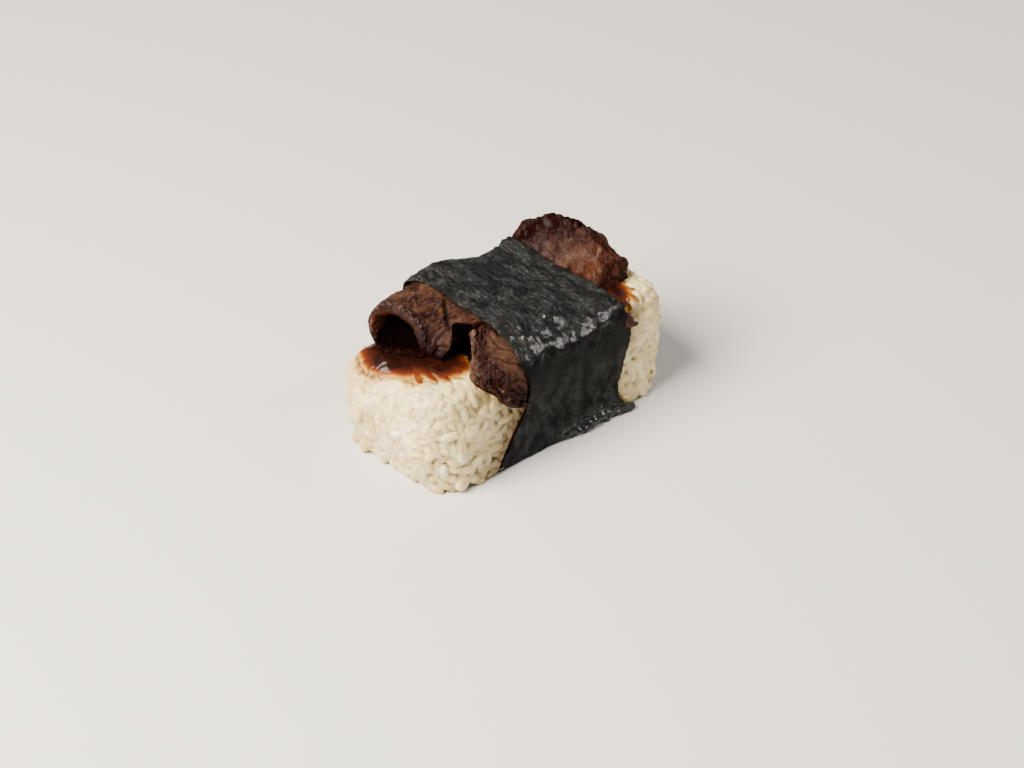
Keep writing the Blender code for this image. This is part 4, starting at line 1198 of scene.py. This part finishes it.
def make_round(squeeze):
    """The bunched slice: a rounded back with crags, a rolled fold, and a side that hangs to the rice."""
    angle, spread = disc_grid(*ROUND_GRID)
    ring = np.minimum(spread / ROUND_BROW, 1.0)
    hang = np.maximum(spread / ROUND_BROW - 1.0, 0.0) / (1 / ROUND_BROW - 1)
    reach = np.sin(math.pi / 2 * ring)
    out = round_outline(angle) * reach * (1 - ROUND_TUCK * hang**2)
    ways = np.stack([np.cos(angle), np.sin(angle)], -1)
    plan = np.array(ROUND_MIDDLE) + ways * ROUND_HALF * out[..., None]
    x, y = plan[..., 0], plan[..., 1]
    top = ROUND_FOOT + round_height(plan) * np.sqrt(np.maximum(1 - reach**ROUND_SHOULDER, 0.0))
    bottom = block_top_at(x, y) - ROUND_SINK
    top = mix(top, bottom + ROUND_RIM, hang)
    outer, inner = np.stack([x, y, top], -1), np.stack([x, y, bottom], -1)
    normal = unit(np.cross(np.gradient(outer, axis=1), np.gradient(outer, axis=0)))
    ease, aside = BUNCH_WAY
    along = np.stack([y * ease + x * aside, x * ease - y * aside, top], -1)
    along[..., :2] += (top * hang)[..., None] * HANG_WAY
    # Bundles and crags of meat, calmer on the smooth patch and on the painted sheen
    patch, painted_sheen = mark(x, y, *ROUND_PATCH), mark(x, y, *ROUND_PAINTED_SHEEN)
    cut = mark(x, y, *ROUND_CUT) + mark(x, y, *ROUND_HOLE)
    from_roll = np.min([near_line(x, y, part) for part in zip(ROUND_ROLL, ROUND_ROLL[1:])], axis=0)
    roll = bump(from_roll, 0.0, ROLL_WIDTH)
    knob = bump(np.hypot(x - ROUND_KNOB[0], y - ROUND_KNOB[1]), 0.0, 4.0)
    sway = rough(along, (6.0, 6.0, 6.0), 2, 5.0)[..., None] * 1.5
    crags = lumps(along + sway, (7.0, 2.6, 3.0), 2, 6.0)
    craggy = (1 - 0.8 * patch) * (1 - 0.6 * painted_sheen)
    bundles = rough(along, (8.0, 4.0, 4.5), 2, 2.0) * (1 - 0.5 * patch)
    crumb = rough(along, (2.6, 0.7, 0.9), 3, 3.0) * 0.3 * (1 - 0.6 * patch)
    fold = roll * 0.4 - bump(from_roll, GROOVE_AT, 1.0) * 1.3 + 1.3 * knob
    lift = bundles + (crags - 0.4) * 0.85 * craggy + crumb + fold - cut * 1.9
    lift = lift * smooth(1.0, 0.94, spread)
    outer = outer + normal * lift[..., None]
    outer = outer + squeeze.moves(outer, *BEEF_SHOULDER)
    inner = inner + squeeze.moves(inner, *BEEF_SHOULDER)
    # Painted shade: crag crevices, the brow turning down, the groove, the cut and hole. Painted light on
    # rises
    low = smooth(0.35, 0.05, crags) * craggy
    rear = smooth(4.0, -6.0, y)
    brow_shade = 0.25 * smooth(0.8, 1.0, ring)
    groove_shade = bump(from_roll, GROOVE_AT, 1.2) * 0.5
    facts = {
        "along": along,
        "crease": np.clip(0.3 + low * 0.5 + roll * 0.75 + brow_shade + groove_shade - 0.3 * painted_sheen, 0, 1),
        "tan": np.clip(patch * 0.7 + painted_sheen * 0.4 + smooth(0.3, 1.2, lift) * 0.2 - roll, 0, 1),
        "sauced": np.clip(rear * (0.45 - low * 0.3), 0, 1),
        "deep": np.clip(cut * 0.9 + roll * 0.1, 0, 1),
        # Below 0 at the rear, which takes some of the shine off its sauce
        "wet": painted_sheen * 0.1 - rear * 0.05,
    }
    lay_shell("beef_bunch", "beef_slice_round", outer, inner, both_sides(facts))


# Sauce


def make_pool(name, node, outline, drips, counts):
    """A pool of sauce on the rice: a frayed outline, drips between the grains, and a soft thick middle."""
    outline = np.array(outline)
    middle = outline.mean(0)
    angle, ring = disc_grid(*counts)
    rim = curve(outline, np.linspace(0, 1, 400, endpoint=False), closed=True) - middle
    rim_angle = np.arctan2(rim[:, 1], rim[:, 0]) % (2 * math.pi)
    order = np.argsort(rim_angle)
    rim_reach = np.linalg.norm(rim, axis=1)[order]
    reach = np.interp(angle % (2 * math.pi), rim_angle[order], rim_reach, period=2 * math.pi)
    frayed = rough(np.stack([np.cos(angle) * reach, np.sin(angle) * reach], -1), (2.2, 2.2), 3, 2.0)
    reach = reach * (1.0 + 0.05 * frayed) + 0.2
    run = np.zeros(angle.shape)
    for tip_x, tip_y, half in drips:
        far = math.hypot(tip_x - middle[0], tip_y - middle[1])
        turn = (angle - math.atan2(tip_y - middle[1], tip_x - middle[0]) + math.pi) % (2 * math.pi) - math.pi
        run = np.maximum(run, np.maximum(far - reach, 0) * np.exp(-((turn * far / half) ** 4)))
    out = reach * ring + run * smooth(0.7, 1.0, ring)
    plan = middle + np.stack([np.cos(angle), np.sin(angle)], -1) * out[..., None]
    x, y = plan[..., 0], plan[..., 1]
    left = (1 - ring) * reach
    bead = bump(np.hypot(x - POOL_BEAD[0], y - POOL_BEAD[1]), 0.0, 3.0)
    thick = POOL_DEPTH * (1 - np.exp(-left / 2.6)) - POOL_RIM * np.exp(-left / 0.9) + 1.2 * bead
    thick = thick + rough(plan, (5.0, 5.0), 2, 4.0) * 0.25 * smooth(0.5, 2.5, left)
    thick = thick + 0.5 * smooth(0.0, 1.5, run) * bump(ring, 0.95, 0.06)
    base = block_top_at(x, y)
    outer = np.stack([x, y, base + thick], -1)
    inner = np.stack([x, y, np.minimum(base - POOL_ROOT, base + thick - 0.05)], -1)
    facts = {"thick": np.clip((thick + 0.1) / POOL_DEPTH, 0, 1)}
    lay_shell(name, node, outer, inner, both_sides(facts))


# Rice


def grain_mesh():
    """One cooked grain of short-grain rice: plump, a little curved, with a nick at its germ end."""
    points, faces = [(-GRAIN_LENGTH / 2, 0, 0)], []
    for ring in range(GRAIN_RINGS):
        t = -math.cos(math.pi * (ring + 1) / (GRAIN_RINGS + 1))
        girth = GRAIN_WIDTH / 2 * (1 - t * t) ** 0.55 * (1 - 0.08 * t)
        for side in range(GRAIN_SIDES):
            turn = 2 * math.pi * side / GRAIN_SIDES
            across, up = girth * math.cos(turn) + 0.35 * t * t, girth * 0.86 * math.sin(turn)
            points.append((t * GRAIN_LENGTH / 2, across, up))
    points.append((GRAIN_LENGTH / 2 * 0.94, 0.25, 0))
    for side in range(GRAIN_SIDES):
        after = (side + 1) % GRAIN_SIDES
        faces.append((0, 1 + after, 1 + side))
        for ring in range(GRAIN_RINGS - 1):
            here = 1 + ring * GRAIN_SIDES
            faces.append((here + side, here + after, here + GRAIN_SIDES + after, here + GRAIN_SIDES + side))
        last = 1 + (GRAIN_RINGS - 1) * GRAIN_SIDES
        faces.append((last + side, last + after, len(points) - 1))
    return mesh_object("rice_grain", points, faces, bpy.data.materials["cooked_short_grain_rice"])


def grain_tree():
    """Geometry Nodes that lay grains on a mesh's faces, at random but evenly, each with its own tone."""
    tree = bpy.data.node_groups.new("lay_rice_grains", "GeometryNodeTree")
    sockets = {}
    tree.interface.new_socket("Geometry", in_out="INPUT", socket_type="NodeSocketGeometry")
    kinds = {"Grain": "Object", "Spacing": "Float", "Least sink": "Float", "Most sink": "Float",
        "Tilt": "Float", "Seed": "Int"}
    for title, kind in kinds.items():
        socket = tree.interface.new_socket(title, in_out="INPUT", socket_type="NodeSocket" + kind)
        sockets[title] = socket.identifier
    tree.interface.new_socket("Geometry", in_out="OUTPUT", socket_type="NodeSocketGeometry")
    given = add(tree, "NodeGroupInput").outputs
    spread = add(tree, "GeometryNodeDistributePointsOnFaces", {"distribute_method": "POISSON"},
        {"Density Max": 1e6},
        {"Mesh": given["Geometry"], "Distance Min": given["Spacing"], "Seed": given["Seed"]})
    # Each grain's middle sinks in from the face by its own depth
    sink = add(tree, "FunctionNodeRandomValue", {"data_type": "FLOAT"}, {},
        {2: given["Least sink"], 3: given["Most sink"], "Seed": given["Seed"]})
    inward = add(tree, "ShaderNodeMath", {"operation": "MULTIPLY"}, {1: -1.0}, {0: sink.outputs[1]})
    offset = add(tree, "ShaderNodeVectorMath", {"operation": "SCALE"}, {},
        {0: spread.outputs["Normal"], "Scale": inward.outputs[0]})
    sunk = add(tree, "GeometryNodeSetPosition", {}, {},
        {"Geometry": spread.outputs["Points"], "Offset": offset.outputs[0]})
    # It lies flat to within the tilt, and turns to any side
    back = add(tree, "ShaderNodeMath", {"operation": "MULTIPLY"}, {1: -1.0}, {0: given["Tilt"]})
    least = add(tree, "ShaderNodeCombineXYZ", {}, {2: 0.0}, {0: back.outputs[0], 1: back.outputs[0]})
    most = add(tree, "ShaderNodeCombineXYZ", {}, {2: 2 * math.pi}, {0: given["Tilt"], 1: given["Tilt"]})
    turn = add(tree, "FunctionNodeRandomValue", {"data_type": "FLOAT_VECTOR"}, {},
        {0: least.outputs[0], 1: most.outputs[0], "Seed": given["Seed"]})
    spin = add(tree, "FunctionNodeEulerToRotation", {}, {}, {0: turn.outputs[0]})
    lie = add(tree, "FunctionNodeRotateRotation", {"rotation_space": "LOCAL"}, {},
        {0: spread.outputs["Rotation"], 1: spin.outputs[0]})
    size = add(tree, "FunctionNodeRandomValue", {"data_type": "FLOAT_VECTOR"},
        {0: GRAIN_LEAST, 1: GRAIN_MOST}, {"Seed": given["Seed"]})
    grain = add(tree, "GeometryNodeObjectInfo", {}, {}, {0: given["Grain"]})
    laid = add(tree, "GeometryNodeInstanceOnPoints", {}, {},
        {"Points": sunk.outputs[0], "Instance": grain.outputs["Geometry"], "Rotation": lie.outputs[0],
        "Scale": size.outputs[0]})
    tone = add(tree, "FunctionNodeRandomValue", {"data_type": "FLOAT"}, {2: 0.0, 3: 1.0, "Seed": TONE_SEED})
    toned = add(tree, "GeometryNodeStoreNamedAttribute", {"data_type": "FLOAT", "domain": "INSTANCE"},
        {"Name": "tone"}, {"Geometry": laid.outputs[0], "Value": tone.outputs[1]})
    real = add(tree, "GeometryNodeRealizeInstances", {}, {}, {"Geometry": toned.outputs[0]})
    coated = add(tree, "GeometryNodeSetMaterial", {},
        {"Material": bpy.data.materials["cooked_short_grain_rice"]}, {"Geometry": real.outputs[0]})
    add(tree, "NodeGroupOutput", {}, {}, {0: coated.outputs[0]})
    return tree, sockets


def lean(points):
    """The block's ends lean out a little above their foot."""
    low, high = BLOCK_ENDS
    set_in = LEAN[0] * (1 - smooth(0.0, LEAN[1], points[:, 2]))
    near = smooth(low + LEAN_REACH, low, points[:, 0])
    far = smooth(high - LEAN_REACH, high, points[:, 0])
    leant = points.copy()
    leant[:, 0] += set_in * (near - far)
    return leant


def block_points(stations, sink, foot_at, across=24, up=16):
    """The block's outline across x at each station, as rows of points round it."""
    quarter = np.linspace(0, 1, CORNER_STEPS + 1)
    rows = []
    for x in stations:
        half, top, foot, corner = (float(value) for value in block_size(x, sink))
        foot = max(foot, foot_at)
        corner = min(corner, (top - foot) / 2.2)
        corners = (
            (half - corner, top - corner, corner, 0, across),
            (-half + corner, top - corner, corner, 90, up),
            (-half + FOOT_CORNER, foot + FOOT_CORNER, FOOT_CORNER, 180, across),
            (half - FOOT_CORNER, foot + FOOT_CORNER, FOOT_CORNER, 270, up),
        )
        arcs = []
        for middle_y, middle_z, radius, start, _ in corners:
            angles = np.radians(start + 90 * quarter)
            y, z = middle_y + radius * np.cos(angles), middle_z + radius * np.sin(angles)
            arcs.append(np.stack([y, z], -1))
        points = []
        for index, arc in enumerate(arcs):
            flat = np.linspace(0, 1, corners[index][4] + 2)[1:-1, None]
            points += [arc, mix(arc[-1], arcs[(index + 1) % 4][0], flat)]
        ring = np.concatenate(points)
        rows.append(np.column_stack([np.full(len(ring), x), ring]))
    return np.array(rows)


def core_points(stations, sink):
    """The body of packed rice that fills in between the grains, this far under the block's face."""
    inside = np.clip(stations, BLOCK_ENDS[0] + sink, BLOCK_ENDS[1] - sink)
    rows = block_points(inside, sink, CORE_FOOT, 60, 40)
    return lean(rows.reshape(-1, 3)).reshape(rows.shape)


def block_stations(low, high, near_end):
    """Places along the block between low and high, closer together at its rounded end."""
    steps = 1 - np.cos(np.linspace(0, math.pi / 2, 14))
    inner = np.linspace(END_CORNER, high - low, 26)[1:]
    depth = np.concatenate([steps * END_CORNER, inner])
    return low + depth if near_end else (high - depth)[::-1]


def node_tree_of(title):
    """A solid's faces in millimetres, to measure from."""
    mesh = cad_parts[title].data
    places = [vertex.co / MM for vertex in mesh.vertices]
    return BVHTree.FromPolygons(places, [tuple(face.vertices) for face in mesh.polygons])


def gap_to(tree, place, reach):
    """How far a place is from a solid's faces, up to this reach."""
    return tree.find_nearest(place, reach)[3] or reach


def gaps_to(tree, points, reach):
    return np.array([gap_to(tree, point, reach) for point in points.tolist()])


def make_rice(squeeze, grain, tree, sockets):
    """Both ends of the block, with grains all over what shows, some of them proud, on a packed core."""
    covers = {title: node_tree_of(title) for title in COVERS}
    pools = [node_tree_of("sauce_pool_front"), node_tree_of("sauce_pool_rear")]
    for name, low, high, near_end, seed in RICE_ENDS:
        stations = block_stations(low, high, near_end)
        host = make_host(name, block_points(stations, HOST_SINK, 0.0), near_end, covers)
        laid = [lay_grains(host, tree, sockets, grain, GRAIN_SPACING, GRAIN_SINK, seed)]
        keep_clear(host.data, pools, covers)
        laid.append(lay_grains(host, tree, sockets, grain, PROUD_SPACING, PROUD_SINK, seed + PROUD_SEED))
        bpy.data.objects.remove(host)
        # The core is looser in parts, more so low on the right side and at the far end
        full, bare = (core_points(stations, sink) for sink in CORE_SINK)
        x, y, z = np.moveaxis(full, -1, 0)
        lower = 0.8 * smooth(28.0, 8.0, z) * smooth(8.0, -12.0, y) - 0.3
        lower = lower + 0.6 * smooth(28.0, 46.0, x) * smooth(-22.0, -12.0, y)
        loose = smooth(-0.5, 0.5, rough(full, (7.0, 7.0, 7.0), 2, 5.0) * 1.2 + lower)
        join_rice(name, mix(full, bare, loose[..., None]), laid, squeeze, pools, covers)


def make_host(name, rows, near_end, covers):
    """The part of the block's face that shows, for grains to be laid on."""
    count, ring = rows.shape[:2]
    points = lean(rows.reshape(-1, 3))
    faces = [quad for quad in grid_quads(count, ring) if shows(points[quad].mean(0), covers)]
    cap = range(ring) if near_end else range((count - 1) * ring, count * ring)
    mesh = bpy.data.meshes.new(name + "_host")
    mesh.from_pydata((points * MM).tolist(), [], faces + cap_faces(cap))
    shape = bmesh.new()
    shape.from_mesh(mesh)
    bmesh.ops.remove_doubles(shape, verts=shape.verts, dist=WELD * MM)
    bmesh.ops.recalc_face_normals(shape, faces=shape.faces)
    middle = Vector((0, 0, BLOCK_MIDDLE * MM))
    outward = sum((face.calc_center_median() - middle).dot(face.normal) for face in shape.faces)
    if outward < 0:
        bmesh.ops.reverse_faces(shape, faces=shape.faces)
    shape.to_mesh(mesh)
    shape.free()
    host = bpy.data.objects.new(name + "_host", mesh)
    bpy.context.scene.collection.objects.link(host)
    return host


def cap_faces(cap):
    """The flat end's faces: thin strips between its left and right sides."""
    return [(cap[i], cap[i + 1], cap[-i - 2], cap[-i - 1]) for i in range(len(cap) // 2 - 1)]


def shows(place, covers):
    """Whether grains are laid here: not on the foot, nor deep under the nori or the beef."""
    if place[2] < 0.3:
        return False
    on_top = place[2] > 22 and abs(place[1]) < 23
    out = Vector((0, 0, 1)) if on_top else Vector((0, math.copysign(1, place[1]), 0))
    reach = 16.0 if on_top else 6.0
    for aside in (-3.0, 0.0, 3.0):
        start = Vector((place[0] + aside, place[1], place[2])) - out * 2.0
        if all(tree.ray_cast(start, out, reach)[0] is None for tree in covers.values()):
            return True
    return False


def keep_clear(mesh, pools, covers):
    """Drops the faces near the sauce, the beef and the nori, where no grain stands proud."""
    shape = bmesh.new()
    shape.from_mesh(mesh)
    taken = []
    for face in shape.faces:
        place = face.calc_center_median() / MM
        near_sauce = min(gap_to(tree, place, 9.0) for tree in pools) < CLEAR_OF_SAUCE
        if near_sauce or min(gap_to(tree, place, 9.0) for tree in covers.values()) < CLEAR_OF_COVERS:
            taken.append(face)
    bmesh.ops.delete(shape, geom=taken, context="FACES")
    shape.to_mesh(mesh)
    shape.free()


def lay_grains(host, tree, sockets, grain, spacing, sink, seed):
    """A plain mesh of the grains that the nodes lay on the host."""
    modifier = host.modifiers.new("grains", "NODES")
    modifier.node_group = tree
    modifier[sockets["Grain"]] = grain
    modifier[sockets["Spacing"]] = spacing * MM
    modifier[sockets["Least sink"]] = sink[0] * MM
    modifier[sockets["Most sink"]] = sink[1] * MM
    modifier[sockets["Tilt"]] = math.radians(GRAIN_TILT)
    modifier[sockets["Seed"]] = seed
    graph = bpy.context.evaluated_depsgraph_get()
    mesh = bpy.data.meshes.new_from_object(host.evaluated_get(graph))
    host.modifiers.clear()
    return mesh


def fuse(points, faces):
    """One closed skin round overlapping solids, as sticky rice has, thinned to a set number of faces."""
    lump = mesh_object("rice_lump", points, faces, bpy.data.materials["cooked_short_grain_rice"])
    skin = lump.modifiers.new("skin", "REMESH")
    skin.mode = "VOXEL"
    skin.voxel_size = VOXEL * MM
    skin.adaptivity = 0.0
    graph = bpy.context.evaluated_depsgraph_get()
    count = len(lump.evaluated_get(graph).data.polygons)
    thin = lump.modifiers.new("thin", "DECIMATE")
    thin.ratio = min(1.0, RICE_FACES / (2 * count))
    graph = bpy.context.evaluated_depsgraph_get()
    fused = bpy.data.meshes.new_from_object(lump.evaluated_get(graph))
    bpy.data.objects.remove(lump)
    places = np.zeros(len(fused.vertices) * 3, np.float32)
    fused.vertices.foreach_get("co", places)
    fused_faces = [tuple(face.vertices) for face in fused.polygons]
    bpy.data.meshes.remove(fused)
    return places.reshape(-1, 3) / MM, fused_faces


def gather(laid):
    """The points, the tone of each and the faces of all the grains, as one."""
    places, tones, faces, start = [], [], [], 0
    for grains in laid:
        corners = np.zeros(len(grains.vertices) * 3, np.float32)
        grains.vertices.foreach_get("co", corners)
        places.append(corners.reshape(-1, 3) / MM)
        shades = np.zeros(len(grains.vertices), np.float32)
        grains.attributes["tone"].data.foreach_get("value", shades)
        tones.append(shades)
        faces += [tuple(start + index for index in face.vertices) for face in grains.polygons]
        start += len(shades)
    return np.concatenate(places), np.concatenate(tones), faces


def join_rice(name, core_rows, laid, squeeze, pools, covers):
    """Fuses grains and core into one sticky lump, and gives it its tones and stains."""
    count, ring = core_rows.shape[:2]
    places, tones, faces = gather(laid)
    start = len(places)
    faces += grid_quads(count, ring, start=start)
    faces.append(list(reversed(range(start, start + ring))))
    faces.append(list(range(start + (count - 1) * ring, start + count * ring)))
    points, faces = fuse(np.concatenate([places, core_rows.reshape(-1, 3)]), faces)
    # Each place takes the tone of the nearest grain; the core between them is darkest, as painted shade
    nearest = KDTree(len(places))
    for index, place in enumerate(places.tolist()):
        nearest.insert(place, index)
    nearest.balance()
    found = [nearest.find(point) for point in points.tolist()]
    bare = smooth(0.5, 1.0, [distance for _, _, distance in found])
    tone = mix(np.array([tones[index] for _, index, _ in found]), 0.1, bare)
    points = points + squeeze.moves(points, *RICE_SHOULDER)
    points[:, 2] = np.maximum(points[:, 2], 0.03)
    x, y, z = points.T
    banded = (x > NORI_RING[4][0][2] + 1.5) & (x < NORI_RING[4][1][2] - 1.0)
    points[:, 1] = np.where(banded & (z < FOOT_HEIGHT), np.clip(y, -FOOT_KEEP, FOOT_KEEP), y)
    facts = {"tone": tone, **rice_stains(points, pools, covers)}
    lay(name, "rice_block", points, faces, facts)


def rice_stains(points, pools, covers):
    """How far the sauce has soaked in at each point, and how much painted shade darkens it."""
    x, y, z = points.T
    near_end = smooth(10.0, -10.0, x)
    # Sauce soaks in round the pools, wider on the near end's face, and the rice is tinted near the flap
    halo = 0.8 + 1.2 * smooth(-40.0, -47.0, x)
    stain = np.zeros(len(points))
    for tree in pools:
        stain = np.maximum(stain, 0.7 * np.exp(-gaps_to(tree, points, 6.0) / halo))
    flap_gap = gaps_to(covers["beef_slice_flap"], points, 30.0)
    stain = np.maximum(stain, 0.3 * np.exp(-flap_gap))
    # Painted shade: the rice under the curl and the flap is stained up to near black, where shade falls
    under = smooth(-33.0, -28.0, x) * smooth(-14.0, -8.0, y) * smooth(20.0, 16.0, y)
    under = under * smooth(26.0, 29.0, z) * smooth(34.0, 28.0, x)
    stain = np.clip(stain * (1 + 0.5 * rough(points, (2.0, 2.0, 2.0), 2, 1.0)), 0, 1)
    stain = np.maximum(stain, under)
    # Painted shade darkens the rice beside the nori, under the flap, left on the near end, and between
    # grains
    nori_gap = gaps_to(covers["nori_band"], points, 50.0)
    painted_dimming = (np.exp(-nori_gap / 3.0) * 0.5 + np.exp(-nori_gap / 13.0) * 0.95) * smooth(-8.0, -20.0, y)
    painted_dimming = painted_dimming * mix(0.3, 1.0, near_end)
    flap_shade = np.exp(-flap_gap / 4.0) * 0.6 * smooth(-18.0, -23.0, y)
    painted_dimming = painted_dimming + flap_shade + 0.1 * near_end * smooth(0.0, 18.0, y)
    half, top, _, _ = block_size(np.clip(x, BLOCK_ENDS[0] + 0.5, BLOCK_ENDS[1] - 0.5))
    inside = np.minimum(half - np.abs(y), top - z)
    inside = np.minimum(inside, np.minimum(x - BLOCK_ENDS[0], BLOCK_ENDS[1] - x))
    return {"stain": stain, "painted_shade": np.clip(smooth(0.6, 1.5, inside) * 0.3 + painted_dimming, 0, 1)}


def build():
    set_camera()
    set_floor()
    set_world()
    for light in LIGHTS:
        set_light(*light)
    cooked_rice()
    toasted_nori()
    glazed_beef()
    soy_glaze()
    squeeze = Squeeze()
    make_nori()
    make_curl(squeeze)
    make_flap(squeeze)
    make_round(squeeze)
    for scrap in SCRAPS:
        make_scrap(*scrap)
    make_pool("sauce_front", "sauce_pool_front", POOL_FRONT, FRONT_DRIPS, FRONT_GRID)
    make_pool("sauce_rear", "sauce_pool_rear", POOL_REAR, REAR_DRIPS, REAR_GRID)
    grain = grain_mesh()
    make_rice(squeeze, grain, *grain_tree())
    bpy.data.objects.remove(grain)


build()
